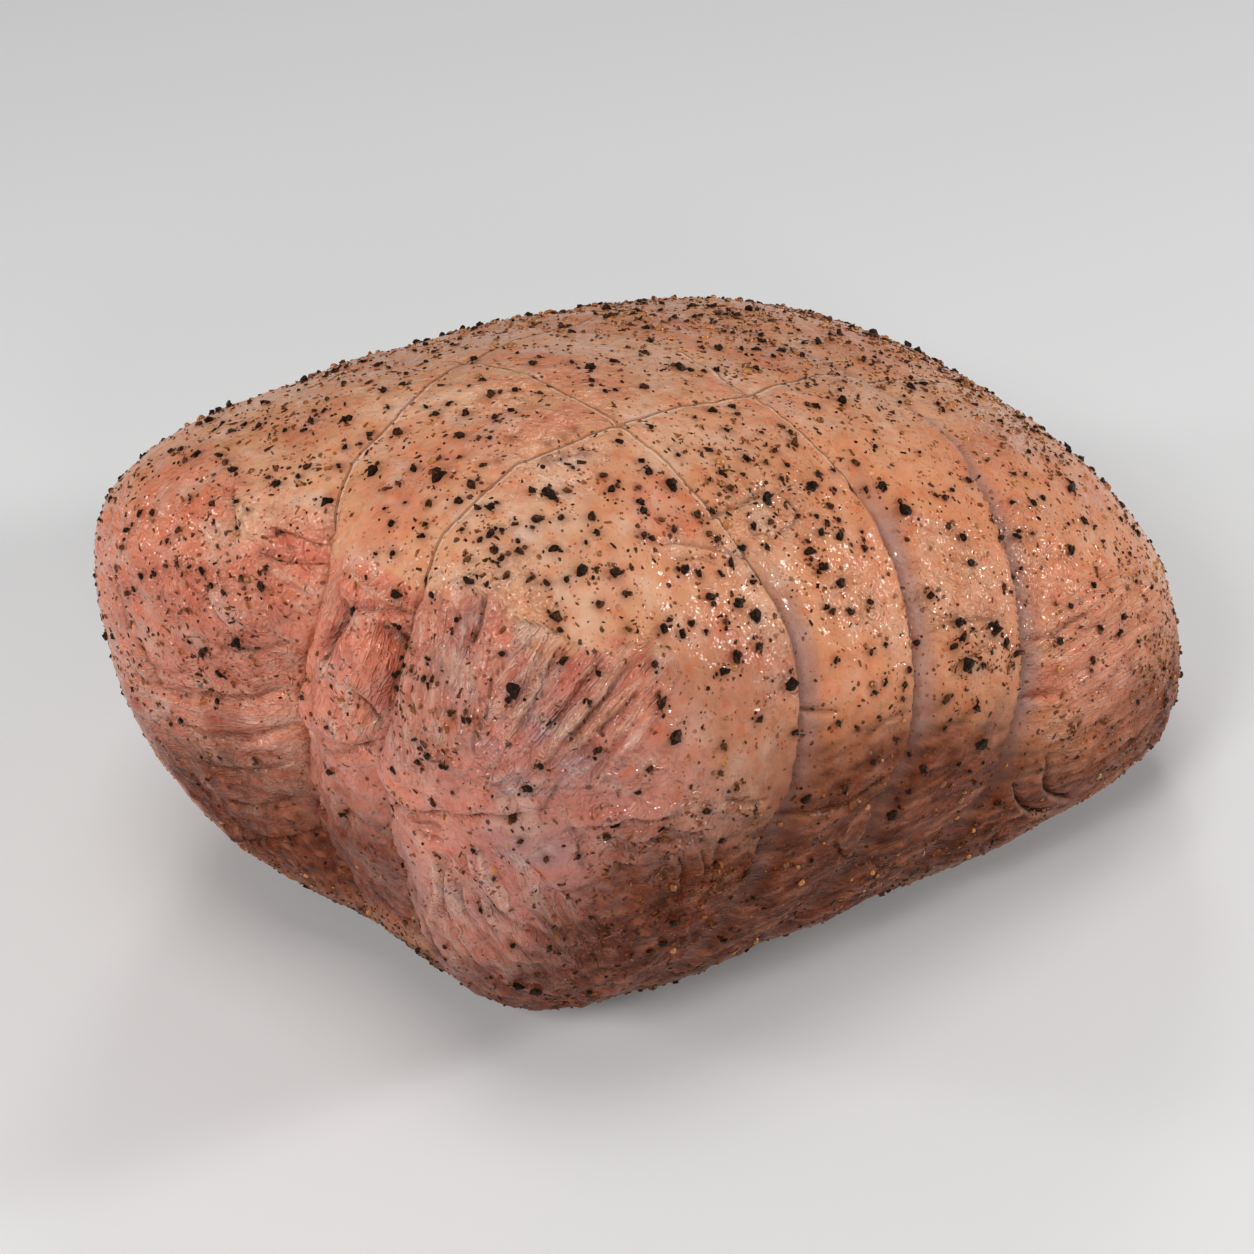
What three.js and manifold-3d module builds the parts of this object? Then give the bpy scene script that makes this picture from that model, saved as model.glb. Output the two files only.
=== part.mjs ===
// A whole boneless black pepper ham, cooked tight in string. The string is off again
// and has left its grooves. Coarse cracked peppercorns stick to the skin.
// Millimetres, +Z up. The ham lies on its flattened underside, and the origin is on the
// surface that it lies on. The grooved bands face -Y, and the tied end faces -X.
import * as THREE from 'three';
import { mergeVertices } from 'three/addons/utils/BufferGeometryUtils.js';
import Module from 'manifold-3d';

const wasm = await Module();
wasm.setup();

// The smooth form, before the string bites into it
const HALF_LENGTH = 120;
const HALF_WIDTH = 90;
const CROWN_HEIGHT = 138;
const WAIST_HEIGHT = 68;
const WAIST_FALL = 46;
const WAIST_LOWEST = 26;
const WAIST_EASE = 7;
const TOP_LEAN_X = -5;
const TOP_LEAN_Y = -9;
const SETTLED_DEPTH = 5;
const REST_ROUNDING = 3;
const BUTT_START = 112;
const BUTT_BLUNTING = 0.25;
const BUTT_EASE = 10;
const MIDDLE_X = 33.09;
const MIDDLE_Y = 17.23;

// Roundness of the outline seen from above, and of the upper and lower halves from the
// side: 2 is a circle, and more is squarer
const PLAN_ROUNDNESS = 3.4;
const UPPER_ROUNDNESS = 2.15;
const LOWER_ROUNDNESS = 2.5;
// The outline widens towards +X, +Y and the corner between them
const WIDER_X = 0.30;
const WIDER_Y = 0.15;
const WIDER_CORNER = 0.07;
// The crown falls away from the tied end, and towards both long sides
const CROWN_FALL_X = 0.21;
const CROWN_FALL_Y = 0.05;
const CROWN_LEVEL_X = 0.02;
const CROWN_ROUND_Y = 0.08;
const NORMAL_STEP = 0.004;

// Shallow hollows where the tied meat has drawn in: bearing, rise and spread in degrees,
// then the depth
const HOLLOWS = [
  [190, -30, 14, 2.5],
  [165, -25, 20, 2.0],
  [290, -10, 20, 3.0],
  [150, 20, 20, 3.0],
  [150, 50, 20, 4.5],
  [340, 60, 25, 3.0],
];

// The string was thin. Its grooves are deep at the sides, and fade out on top, where it
// left no more than a line in the skin
const STRING_RADIUS = 2.3;
const VALLEY_WIDTH = 9;
const MARK_CLEARANCE = 0.8;
const HOOP_BITE = 2.0;
const HOOP_VALLEY = 2.0;
const END_BITE = 2.2;
const END_VALLEY = 6.5;
const HOOPS = [
  { at: -41.7, turn: -0.07, lean: 0.15 },
  { at: -21.5, turn: -0.08, lean: 0.27 },
  { at: 2.7, turn: -0.08, lean: 0.40 },
  { at: 95, turn: -0.08, lean: 0.40 },
];
const LENGTHWISE = [
  { at: 25.3, turn: 0.26, lean: -0.05 },
  { at: -18.2, turn: 0.0, lean: -0.06 },
];
// Heights and places between which the string's grip comes and goes
const HOOP_FREE_Z = 134;
const HOOP_TIGHT_Z = 98;
const BACK_FREE_Y = 15;
const BACK_TIGHT_Y = 45;
const BACK_GRIP = 0.8;
const END_FREE_X = -48;
const END_TIGHT_X = -80;
const END_FREE_Z = 142;
const END_TIGHT_Z = 112;
const FOOT_FREE_Z = 5;
const FOOT_TIGHT_Z = 30;
// Under the ham the string's path passes clear below the resting face
const UNDER_START_Z = 14;
const UNDER_FULL_Z = 5;
const UNDER_LIFT = 3.2;
const SEARCH_PASSES = 30;
const SEARCH_MARGIN = 0.01;

// Creases and slits in the meat: stretch by stretch, each point is a bearing and a rise
// in degrees, seen from the middle of the ham
const CREASES = [
  { width: 4.5, depth: 2.6, points: [[201, -6], [207, -6], [214, -5], [221, -2], [228, 0], [243, 3]] },
  { width: 3.5, depth: 1.8, points: [[149, -12], [161, -9], [171, -6], [181, -2]] },
  { width: 6.0, depth: 3.0, points: [[161, 31], [169, 30], [178, 30]] },
  { width: 4.0, depth: 2.6, points: [[185, 25], [191, 20], [189, 10]] },
  { width: 4.0, depth: 2.6, points: [[195, 25], [194, 15], [195, 4]] },
  { width: 3.5, depth: 2.0, points: [[181, -8], [190, -6], [198, -1]] },
  { width: 3.0, depth: 1.6, points: [[259, -6], [266, -7], [272, 0]] },
  { width: 3.0, depth: 1.6, points: [[292, 25], [299, 28], [306, 31]] },
  { width: 3.5, depth: 2.0, points: [[292, 6], [293, -5], [300, -15]] },
  { width: 3.5, depth: 2.0, points: [[297, -4], [302, -1], [311, 3]] },
  { width: 3.5, depth: 2.0, points: [[215, -8], [217, -14], [222, -22]] },
];
const CREASE_STEPS = 7;
const CREASE_ARC_STEPS = 3;
const CREASE_CLEARANCE = 0.75;
const CREASE_ROOT = 0.25;

// The largest pepper: cracked corns, some in known places and the rest strewn
const CORN_RADIUS_MIN = 1.5;
const CORN_RADIUS_MAX = 2.5;
const CORN_SUNK = 0.35;
const CORN_SPACING = 9;
const CORN_NARROWEST = 0.8;
const CORN_FLATTEST = 0.75;
const CORN_VARIETY = 0.35;
const SPARSE_BELOW_Z = 20;
const DENSE_ABOVE_Z = 125;
const SPARSE_SHARE = 0.2;
const STRING_CLEAR = 5;
const LOWEST_CORN = 12;
const STREWN_CORNS = 28;
const PLACED_CORNS = [
  [289, 50], [250, 60], [228, 45], [233, 44], [222, 24], [241, 17], [254, 26],
  [284, 31], [282, 25], [289, 28], [307, 38], [232, 15], [224, 5], [191, 53],
  [170, 5], [166, -4], [257, 45], [270, 42], [299, 37], [283, 10],
];

const FACETS_PER_SIDE = 19;
const STRING_STEPS = 44;
const STRING_SIDES = 4;

const X = new THREE.Vector3(1, 0, 0);
const Y = new THREE.Vector3(0, 1, 0);
const Z = new THREE.Vector3(0, 0, 1);
const MIDDLE = new THREE.Vector3(MIDDLE_X, MIDDLE_Y, 0);

const hamMaterial = new THREE.MeshStandardMaterial({ color: 0xb8805e, roughness: 0.42, metalness: 0 });

function smoothstep(low, high, value) {
  const t = Math.min(1, Math.max(0, (value - low) / (high - low)));
  return t * t * (3 - 2 * t);
}

// The draws are seeded, so that the pepper falls the same way each time
let seed = 20407;
function random() {
  seed = (seed * 16807) % 2147483647;
  return seed / 2147483647;
}

// How far a rounded square of the given roundness reaches in a unit direction
function rounded(cosine, sine, roundness) {
  return (Math.abs(cosine) ** roundness + Math.abs(sine) ** roundness) ** (-1 / roundness);
}

// Seen from above the ham is a rounded box, broader towards +X and +Y
function planRadius(bearing) {
  const wider = 1 + WIDER_X * Math.cos(bearing) + WIDER_Y * Math.sin(bearing)
    + WIDER_CORNER * Math.sin(2 * bearing);
  return rounded(Math.cos(bearing), Math.sin(bearing), PLAN_ROUNDNESS) * wider;
}

// A ramp that starts softly from zero
function softRamp(value, ease) {
  return ease * Math.log1p(Math.exp(value / ease));
}

function towards(bearing, rise) {
  const b = THREE.MathUtils.degToRad(bearing);
  const r = THREE.MathUtils.degToRad(rise);
  return new THREE.Vector3(Math.cos(r) * Math.cos(b), Math.cos(r) * Math.sin(b), Math.sin(r));
}

function hollowDepth(direction) {
  let depth = 0;
  for (const [bearing, rise, spread, deepest] of HOLLOWS) {
    const away = THREE.MathUtils.radToDeg(direction.angleTo(towards(bearing, rise)));
    depth += deepest * Math.exp(-((away / spread) ** 2));
  }
  return depth;
}

// One point of the smooth skin for each direction from the ham's middle
function smoothPoint(direction) {
  const bearing = Math.atan2(direction.y, direction.x);
  const flat = Math.hypot(direction.x, direction.y);
  const reach = rounded(flat, direction.z, direction.z > 0 ? UPPER_ROUNDNESS : LOWER_ROUNDNESS);
  const across = reach * flat * planRadius(bearing);
  const ux = across * Math.cos(bearing);
  const uy = across * Math.sin(bearing);
  const uz = reach * direction.z;
  const waist = WAIST_LOWEST + softRamp(WAIST_HEIGHT - WAIST_LOWEST - WAIST_FALL * ux, WAIST_EASE);
  const crown = CROWN_HEIGHT * (1 - CROWN_FALL_X * ux - CROWN_FALL_Y * uy
    + CROWN_LEVEL_X * ux * ux - CROWN_ROUND_Y * uy * uy);
  const along = HALF_LENGTH * ux + TOP_LEAN_X * uz;
  return new THREE.Vector3(
    along - BUTT_BLUNTING * softRamp(along - BUTT_START, BUTT_EASE),
    HALF_WIDTH * uy + TOP_LEAN_Y * uz,
    waist + (uz > 0 ? crown - waist : waist) * uz - SETTLED_DEPTH);
}

function outwardNormal(direction, point) {
  const level = Math.abs(direction.z) < Math.SQRT1_2 ? Z : X;
  const side = level.clone().cross(direction).normalize();
  const other = direction.clone().cross(side);
  const edgeTo = (way) => smoothPoint(direction.clone().addScaledVector(way, NORMAL_STEP).normalize())
    .sub(point);
  return edgeTo(side).cross(edgeTo(other)).normalize();
}

const hoopDistance = (p, plane) => p.x - (plane.at + plane.turn * p.y + plane.lean * p.z);
const lengthDistance = (p, plane) => p.y - (plane.at + plane.turn * p.x + plane.lean * p.z);

// The hoops sink in at the sides, and more where they turn down behind the top
function hoopGrip(p) {
  return Math.max(smoothstep(HOOP_FREE_Z, HOOP_TIGHT_Z, p.z),
    BACK_GRIP * smoothstep(BACK_FREE_Y, BACK_TIGHT_Y, p.y));
}

// The lengthwise strings pull the tied end into three lobes
function endGrip(p) {
  return smoothstep(END_FREE_X, END_TIGHT_X, p.x) * smoothstep(END_FREE_Z, END_TIGHT_Z, p.z)
    * smoothstep(FOOT_FREE_Z, FOOT_TIGHT_Z, p.z);
}

function valleyDepth(p) {
  let depth = 0;
  for (const plane of HOOPS) {
    depth += HOOP_VALLEY * hoopGrip(p) * Math.exp(-((hoopDistance(p, plane) / VALLEY_WIDTH) ** 2));
  }
  for (const plane of LENGTHWISE) {
    depth += END_VALLEY * endGrip(p) * Math.exp(-((lengthDistance(p, plane) / VALLEY_WIDTH) ** 2));
  }
  return depth;
}

// The underside settles flat on what the ham lies on, with a soft turn at its rim
function settle(point) {
  const z = point.z;
  if (z < -REST_ROUNDING) point.z = 0;
  else if (z < REST_ROUNDING) point.z = (z + REST_ROUNDING) ** 2 / (4 * REST_ROUNDING);
  return point;
}

// The skin as the string has shaped it
function skin(direction) {
  const point = smoothPoint(direction);
  const normal = outwardNormal(direction, point);
  point.addScaledVector(normal, -valleyDepth(point) - hollowDepth(direction));
  return { point: settle(point), normal };
}

function solid(geometry) {
  geometry.deleteAttribute('normal');
  geometry.deleteAttribute('uv');
  const merged = mergeVertices(geometry, 1e-4);
  return new wasm.Manifold(new wasm.Mesh({
    numProp: 3,
    vertProperties: new Float32Array(merged.attributes.position.array),
    triVerts: new Uint32Array(merged.index.array),
  }));
}

function body() {
  const geometry = new THREE.BoxGeometry(2, 2, 2, FACETS_PER_SIDE, FACETS_PER_SIDE, FACETS_PER_SIDE);
  const position = geometry.attributes.position;
  for (let i = 0; i < position.count; i++) {
    const sides = [position.getX(i), position.getY(i), position.getZ(i)];
    const direction = new THREE.Vector3(...sides.map((side) => Math.tan(side * Math.PI / 4))).normalize();
    const { point } = skin(direction);
    position.setXYZ(i, point.x - MIDDLE_X, point.y - MIDDLE_Y, point.z);
  }
  return solid(geometry);
}

// Follows one string all the way round: at each turn about its own axis it finds the
// direction in which the skin meets the string's plane
function stringPath(plane, distance, axes, bite) {
  const points = [];
  for (let i = 0; i < STRING_STEPS; i++) {
    const turn = (i / STRING_STEPS) * 2 * Math.PI;
    let low = SEARCH_MARGIN;
    let high = Math.PI - SEARCH_MARGIN;
    const aim = (angle) => new THREE.Vector3()
      .addScaledVector(axes[0], Math.cos(angle))
      .addScaledVector(axes[1], Math.sin(angle) * Math.cos(turn))
      .addScaledVector(axes[2], Math.sin(angle) * Math.sin(turn));
    for (let pass = 0; pass < SEARCH_PASSES; pass++) {
      const middle = (low + high) / 2;
      if (distance(smoothPoint(aim(middle)), plane) > 0) low = middle;
      else high = middle;
    }
    const { point, normal } = skin(aim(low));
    const clear = UNDER_LIFT * smoothstep(UNDER_START_Z, UNDER_FULL_Z, point.z);
    points.push(point.addScaledVector(normal, STRING_RADIUS - bite(point) + clear).sub(MIDDLE));
  }
  return points;
}

function groove(points) {
  const path = new THREE.CatmullRomCurve3(points, true);
  return solid(new THREE.TubeGeometry(path, STRING_STEPS, STRING_RADIUS, STRING_SIDES, true));
}

// A crease is a wedge that dips into the skin along its path and comes out at both ends
function crease({ width, depth, points }) {
  const rough = new THREE.CatmullRomCurve3(points.map(([bearing, rise]) => towards(bearing, rise)));
  const path = rough.getSpacedPoints(CREASE_STEPS).map((direction, i) => {
    const { point, normal } = skin(direction.normalize());
    const dip = Math.sin(Math.PI * i / CREASE_STEPS);
    const sunk = (depth + width * CREASE_ROOT) * dip;
    return point.addScaledVector(normal, width * CREASE_CLEARANCE - sunk).sub(MIDDLE);
  });
  const section = new THREE.Shape();
  section.absarc(0, 0, width / 2, 0, 2 * Math.PI);
  return solid(new THREE.ExtrudeGeometry(section, {
    extrudePath: new THREE.CatmullRomCurve3(path), steps: CREASE_STEPS, curveSegments: CREASE_ARC_STEPS,
  }));
}

function corn(direction, radius) {
  const { point, normal } = skin(direction);
  const geometry = new THREE.IcosahedronGeometry(radius, 0);
  geometry.scale(CORN_NARROWEST + CORN_VARIETY * random(), CORN_NARROWEST + CORN_VARIETY * random(),
    CORN_FLATTEST + CORN_VARIETY * random());
  geometry.rotateX(2 * Math.PI * random());
  geometry.rotateZ(2 * Math.PI * random());
  const centre = point.addScaledVector(normal, radius * (1 - 2 * CORN_SUNK));
  geometry.translate(centre.x - MIDDLE_X, centre.y - MIDDLE_Y, centre.z);
  return { centre, piece: solid(geometry) };
}

// The grooves were under the string when the pepper went on
function underString(p) {
  return HOOPS.some((plane) => Math.abs(hoopDistance(p, plane)) < STRING_CLEAR)
    || LENGTHWISE.some((plane) => Math.abs(lengthDistance(p, plane)) < STRING_CLEAR);
}

// Known corns first, then strewn ones wherever there is room, thickest on the upper skin
function pepper() {
  const corns = PLACED_CORNS.map(([bearing, rise]) => corn(towards(bearing, rise), CORN_RADIUS_MAX));
  while (corns.length < PLACED_CORNS.length + STREWN_CORNS) {
    const rise = THREE.MathUtils.radToDeg(Math.asin(2 * random() - 1));
    const radius = CORN_RADIUS_MIN + (CORN_RADIUS_MAX - CORN_RADIUS_MIN) * random() ** 2;
    const strewn = corn(towards(360 * random(), rise), radius);
    const height = smoothstep(SPARSE_BELOW_Z, DENSE_ABOVE_Z, strewn.centre.z);
    const wanted = SPARSE_SHARE + (1 - SPARSE_SHARE) * height;
    const free = corns.every((other) => other.centre.distanceTo(strewn.centre) > CORN_SPACING);
    const clear = free && strewn.centre.z > LOWEST_CORN && !underString(strewn.centre);
    if (clear && random() < wanted) corns.push(strewn);
  }
  return corns.map(({ piece }) => piece);
}

function meshOf(manifold) {
  const { vertProperties, triVerts } = manifold.getMesh();
  const geometry = new THREE.BufferGeometry();
  geometry.setAttribute('position', new THREE.BufferAttribute(vertProperties, 3));
  geometry.setIndex(new THREE.BufferAttribute(triVerts, 1));
  geometry.computeVertexNormals();
  return geometry;
}

let meat = body();
for (const plane of HOOPS) {
  const bite = (p) => (HOOP_BITE + MARK_CLEARANCE) * hoopGrip(p) - MARK_CLEARANCE;
  meat = meat.subtract(groove(stringPath(plane, hoopDistance, [X, Y, Z], bite)));
}
for (const plane of LENGTHWISE) {
  const bite = (p) => (END_BITE + MARK_CLEARANCE) * endGrip(p) - MARK_CLEARANCE;
  meat = meat.subtract(groove(stringPath(plane, lengthDistance, [Y, Z, X], bite)));
}
for (const shape of CREASES) meat = meat.subtract(crease(shape));
for (const piece of pepper()) meat = meat.add(piece);

const ham = new THREE.Mesh(meshOf(meat), hamMaterial);
ham.name = 'ham';
const object = new THREE.Group();
object.add(ham);

export default object;
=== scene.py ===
"""A whole boneless black pepper ham, cooked tight in string that is off again, with cracked
peppercorns stuck to its skin. Metres in Blender; the ham's own shape is worked out in
millimetres about its own middle, and MIDDLE brings it into the frame of the CAD part: +Z
up, the tied end towards -X, the grooved bands towards -Y, the origin under the ham."""
import math

import bmesh
import bpy
import numpy as np
from mathutils import Matrix, Vector, noise
from mathutils.bvhtree import BVHTree
from mathutils.kdtree import KDTree


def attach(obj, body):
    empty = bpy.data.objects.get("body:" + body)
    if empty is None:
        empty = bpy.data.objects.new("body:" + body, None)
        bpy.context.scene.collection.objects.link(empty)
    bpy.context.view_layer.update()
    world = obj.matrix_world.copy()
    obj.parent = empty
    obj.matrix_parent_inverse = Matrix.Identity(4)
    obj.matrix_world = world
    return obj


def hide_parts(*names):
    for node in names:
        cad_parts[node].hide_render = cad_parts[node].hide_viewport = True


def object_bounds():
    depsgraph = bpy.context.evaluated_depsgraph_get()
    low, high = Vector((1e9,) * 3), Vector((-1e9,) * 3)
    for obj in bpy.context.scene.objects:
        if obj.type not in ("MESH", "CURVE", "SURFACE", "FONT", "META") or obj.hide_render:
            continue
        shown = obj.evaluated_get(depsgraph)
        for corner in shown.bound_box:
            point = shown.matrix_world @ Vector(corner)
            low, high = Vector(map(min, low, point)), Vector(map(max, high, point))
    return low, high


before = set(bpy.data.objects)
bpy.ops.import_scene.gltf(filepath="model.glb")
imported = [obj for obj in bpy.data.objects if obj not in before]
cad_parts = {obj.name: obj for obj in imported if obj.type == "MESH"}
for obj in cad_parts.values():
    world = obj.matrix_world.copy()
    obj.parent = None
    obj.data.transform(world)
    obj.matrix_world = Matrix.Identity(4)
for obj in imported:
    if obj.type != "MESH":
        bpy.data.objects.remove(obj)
cad_low, cad_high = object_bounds()

MM = 0.001
MIDDLE = np.array([33.09, 17.23, 0.0])


# The view
# The camera stands where the photograph was taken from: on the corner between the tied
# end and the grooved bands, looking down. Places on the ham are given below as they
# are seen in this view, across and down in a frame of 1254 by 1254.
VIEW_SIDE = 1254
LENS = 85.0
SENSOR = 36.0
AZIMUTH = math.radians(-46.3)
ELEVATION = math.radians(34.9)
DISTANCE = 610.4
AIM = np.array([0.0, 0.0, 65.0])
AIM_RIGHT = 5.14
AIM_UP = 0.97

view_back = np.array([
    math.sin(AZIMUTH) * math.cos(ELEVATION),
    -math.cos(AZIMUTH) * math.cos(ELEVATION),
    math.sin(ELEVATION),
])
view_right = np.array([math.cos(AZIMUTH), math.sin(AZIMUTH), 0.0])
view_up = np.cross(view_back, view_right)
eye = AIM + view_right * AIM_RIGHT + view_up * AIM_UP + view_back * DISTANCE
FOCAL = LENS / SENSOR * VIEW_SIDE


def seen_at(points):
    """Where points in millimetres are seen in the view, across and down."""
    away = points - eye
    depth = -(away @ view_back)
    across = VIEW_SIDE / 2 + FOCAL * (away @ view_right) / depth
    down = VIEW_SIDE / 2 - FOCAL * (away @ view_up) / depth
    return np.stack([across, down], axis=-1)


def sight_line(across, down):
    """The direction from the eye through a place in the view."""
    ahead = -view_back * FOCAL
    ahead = ahead + view_right * (across - VIEW_SIDE / 2) - view_up * (down - VIEW_SIDE / 2)
    return ahead / np.linalg.norm(ahead)


camera_data = bpy.data.cameras.new("photographer")
camera_data.lens = LENS
camera_data.sensor_width = SENSOR
camera_data.clip_start = 0.01
camera = bpy.data.objects.new("photographer", camera_data)
bpy.context.collection.objects.link(camera)
camera.rotation_euler = Matrix(np.stack([view_right, view_up, view_back], axis=1)).to_euler()
camera.location = (eye - MIDDLE) * MM
bpy.context.scene.camera = camera


# The ham's form
# One boneless ham of muscle under a thin skin, pressed by its string into a rounded
# loaf that is high at the tied end and flat underneath. It is a cube cut into a fine
# net, blown out to the same form as the solid, with a closer net on the side in view.
HALF_LENGTH = 120.0
HALF_WIDTH = 90.0
CROWN_HEIGHT = 138.0
WAIST_HEIGHT = 68.0
WAIST_FALL = 46.0
WAIST_LOWEST = 26.0
WAIST_EASE = 7.0
TOP_LEAN = (-5.0, -9.0)
SETTLED_DEPTH = 5.0
REST_ROUNDING = 3.0
BUTT_START = 112.0
BUTT_BLUNTING = 0.25
BUTT_EASE = 10.0
PLAN_ROUNDNESS = 3.4
UPPER_ROUNDNESS = 2.15
LOWER_ROUNDNESS = 2.5
HOLLOWS = [
    (190, -30, 14, 2.5),
    (165, -25, 20, 2.0),
    (290, -10, 20, 3.0),
    (150, 20, 20, 3.0),
    (150, 50, 20, 4.5),
    (340, 60, 25, 3.0),
]
NET_SIDE = 56
CLOSE_NET_CUTS = 2
CLOSE_FACING = -0.1


def smoothstep(low, high, value):
    t = np.clip((value - low) / (high - low), 0, 1)
    return t * t * (3 - 2 * t)


def soft_ramp(value, ease):
    return ease * np.log1p(np.exp(value / ease))


def rounded(cosine, sine, roundness):
    return (np.abs(cosine) ** roundness + np.abs(sine) ** roundness) ** (-1 / roundness)


def unit(vectors):
    return vectors / np.linalg.norm(vectors, axis=-1, keepdims=True)


def towards(bearing, rise):
    b = math.radians(bearing)
    r = math.radians(rise)
    return np.array([math.cos(r) * math.cos(b), math.cos(r) * math.sin(b), math.sin(r)])


def smooth_form(way):
    """The smooth skin's point for each direction from the ham's middle."""
    bearing = np.arctan2(way[:, 1], way[:, 0])
    flat = np.hypot(way[:, 0], way[:, 1])
    roundness = np.where(way[:, 2] > 0, UPPER_ROUNDNESS, LOWER_ROUNDNESS)
    reach = rounded(flat, way[:, 2], roundness)
    wider = 1 + 0.30 * np.cos(bearing) + 0.15 * np.sin(bearing) + 0.07 * np.sin(2 * bearing)
    across = reach * flat * wider * rounded(np.cos(bearing), np.sin(bearing), PLAN_ROUNDNESS)
    ux = across * np.cos(bearing)
    uy = across * np.sin(bearing)
    uz = reach * way[:, 2]
    fall = WAIST_HEIGHT - WAIST_LOWEST - WAIST_FALL * ux
    waist = WAIST_LOWEST + soft_ramp(fall, WAIST_EASE)
    crown = CROWN_HEIGHT * (1 - 0.21 * ux - 0.05 * uy + 0.02 * ux ** 2 - 0.08 * uy ** 2)
    along = HALF_LENGTH * ux + TOP_LEAN[0] * uz
    return np.stack([
        along - BUTT_BLUNTING * soft_ramp(along - BUTT_START, BUTT_EASE),
        HALF_WIDTH * uy + TOP_LEAN[1] * uz,
        waist + np.where(uz > 0, crown - waist, waist) * uz - SETTLED_DEPTH,
    ], axis=-1)


def outward(way, points):
    """The smooth skin's normal for each direction."""
    level = np.where(np.abs(way[:, 2:3]) < 0.7, [[0.0, 0.0, 1.0]], [[1.0, 0.0, 0.0]])
    side = unit(np.cross(level, way))
    other = np.cross(way, side)
    step = 0.004
    one = smooth_form(unit(way + side * step)) - points
    two = smooth_form(unit(way + other * step)) - points
    return unit(np.cross(one, two))


def hollow_depth(way):
    depth = np.zeros(len(way))
    for bearing, rise, spread, deepest in HOLLOWS:
        away = np.degrees(np.arccos(np.clip(way @ towards(bearing, rise), -1, 1)))
        depth += deepest * np.exp(-((away / spread) ** 2))
    return depth


def settled(points):
    """The underside lies flat, with a soft turn at its rim."""
    z = points[:, 2]
    turn = np.clip(z + REST_ROUNDING, 0, 2 * REST_ROUNDING) ** 2 / (4 * REST_ROUNDING)
    out = points.copy()
    out[:, 2] = np.where(z > REST_ROUNDING, z, turn)
    return out


net = bmesh.new()
bmesh.ops.create_cube(net, size=2)
bmesh.ops.subdivide_edges(net, edges=net.edges[:], cuts=NET_SIDE - 1, use_grid_fill=True)


def net_ways(bm):
    """The net's directions: the cube's faces spread evenly by angle."""
    corners = np.array([v.co[:] for v in bm.verts])
    return unit(np.tan(corners * math.pi / 4))


first_ways = net_ways(net)
first_points = smooth_form(first_ways)
facing = np.sum(outward(first_ways, first_points) * unit(eye - first_points), axis=1)
net.verts.ensure_lookup_table()
close_faces = [f for f in net.faces if all(facing[v.index] > CLOSE_FACING for v in f.verts)]
close_edges = list({e for f in close_faces for e in f.edges})
bmesh.ops.subdivide_edges(net, edges=close_edges, cuts=CLOSE_NET_CUTS, use_grid_fill=True)
ways = net_ways(net)
points = smooth_form(ways)
normals = outward(ways, points)
points = points - normals * hollow_depth(ways)[:, None]
seen = smoothstep(-0.1, 0.12, np.sum(normals * unit(eye - points), axis=1))
net.verts.index_update()
for vert, place in zip(net.verts, points):
    vert.co = place
smooth_ham = BVHTree.FromBMesh(net)


def on_ham(across, down, ham):
    """The point of the ham that is seen at a place in the view."""
    hit = ham.ray_cast(Vector(eye), Vector(sight_line(across, down)))[0]
    return None if hit is None else np.array(hit)


# The string's lines
# Thin string went round the ham in hoops and lengthwise, and was cut off after cooking.
# It left lines in the skin: no more than a shallow mark on top with a painted highlight beside it, a deep
# groove with a bank that laps over it at the sides, and clefts between the three lobes of the tied end.
# Hoops: x = at + turn * y + lean * z. Lengthwise lines: y = at + turn * x + lean * z.
HOOP_C = dict(at=-41.7, turn=-0.07, lean=0.15, lap=-1, seen=[
    (380, 361), (420, 359), (460, 361), (505, 368), (545, 381), (580, 398), (620, 425),
    (660, 455), (690, 487), (720, 520), (750, 556), (780, 600), (800, 650), (808, 700),
    (805, 750), (795, 795), (770, 840), (755, 880), (730, 915), (700, 950), (685, 965),
])
HOOP_D = dict(at=-21.5, turn=-0.08, lean=0.27, lap=-1, seen=[
    (680, 350), (715, 370), (745, 390), (790, 420), (825, 450), (860, 487), (890, 540),
    (910, 590), (920, 650), (922, 690), (915, 750), (890, 795), (870, 835), (850, 870),
    (815, 905),
])
HOOP_E = dict(at=2.7, turn=-0.08, lean=0.40, lap=-1, seen=[
    (940, 425), (955, 438), (975, 470), (995, 500), (1012, 545), (1025, 600), (1029, 650),
    (1025, 715), (1010, 755), (990, 795), (955, 835), (930, 860),
])
HOOP_FAR = dict(at=95.0, turn=-0.08, lean=0.40, lap=-1, seen=[])
LENGTHWISE_A = dict(at=25.3, turn=0.26, lean=-0.05, lap=-1, seen=[
    (430, 382), (410, 402), (380, 432), (350, 460), (335, 490), (322, 525), (310, 560),
    (300, 600), (290, 640), (280, 680), (278, 715), (285, 750), (290, 790), (300, 830),
    (320, 865), (345, 895),
])
LENGTHWISE_B = dict(at=-18.2, turn=0.0, lean=-0.06, lap=-1, seen=[
    (815, 375), (790, 380), (745, 394), (680, 406), (620, 424), (560, 445), (520, 462),
    (480, 495), (440, 530), (410, 590), (390, 640), (370, 700), (362, 770), (375, 850),
    (400, 925), (435, 970),
])
STRING_MIDDLE_Z = 55.0
BLEND_TURN = 0.35
HOOP_FREE_Z = 134.0
HOOP_TIGHT_Z = 98.0
BACK_FREE_Y = 15.0
BACK_TIGHT_Y = 45.0
BACK_GRIP = 0.8
END_FREE_X = -48.0
END_TIGHT_X = -80.0
END_FREE_Z = 142.0
END_TIGHT_Z = 112.0
FOOT_FREE_Z = 5.0
FOOT_TIGHT_Z = 30.0


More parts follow.
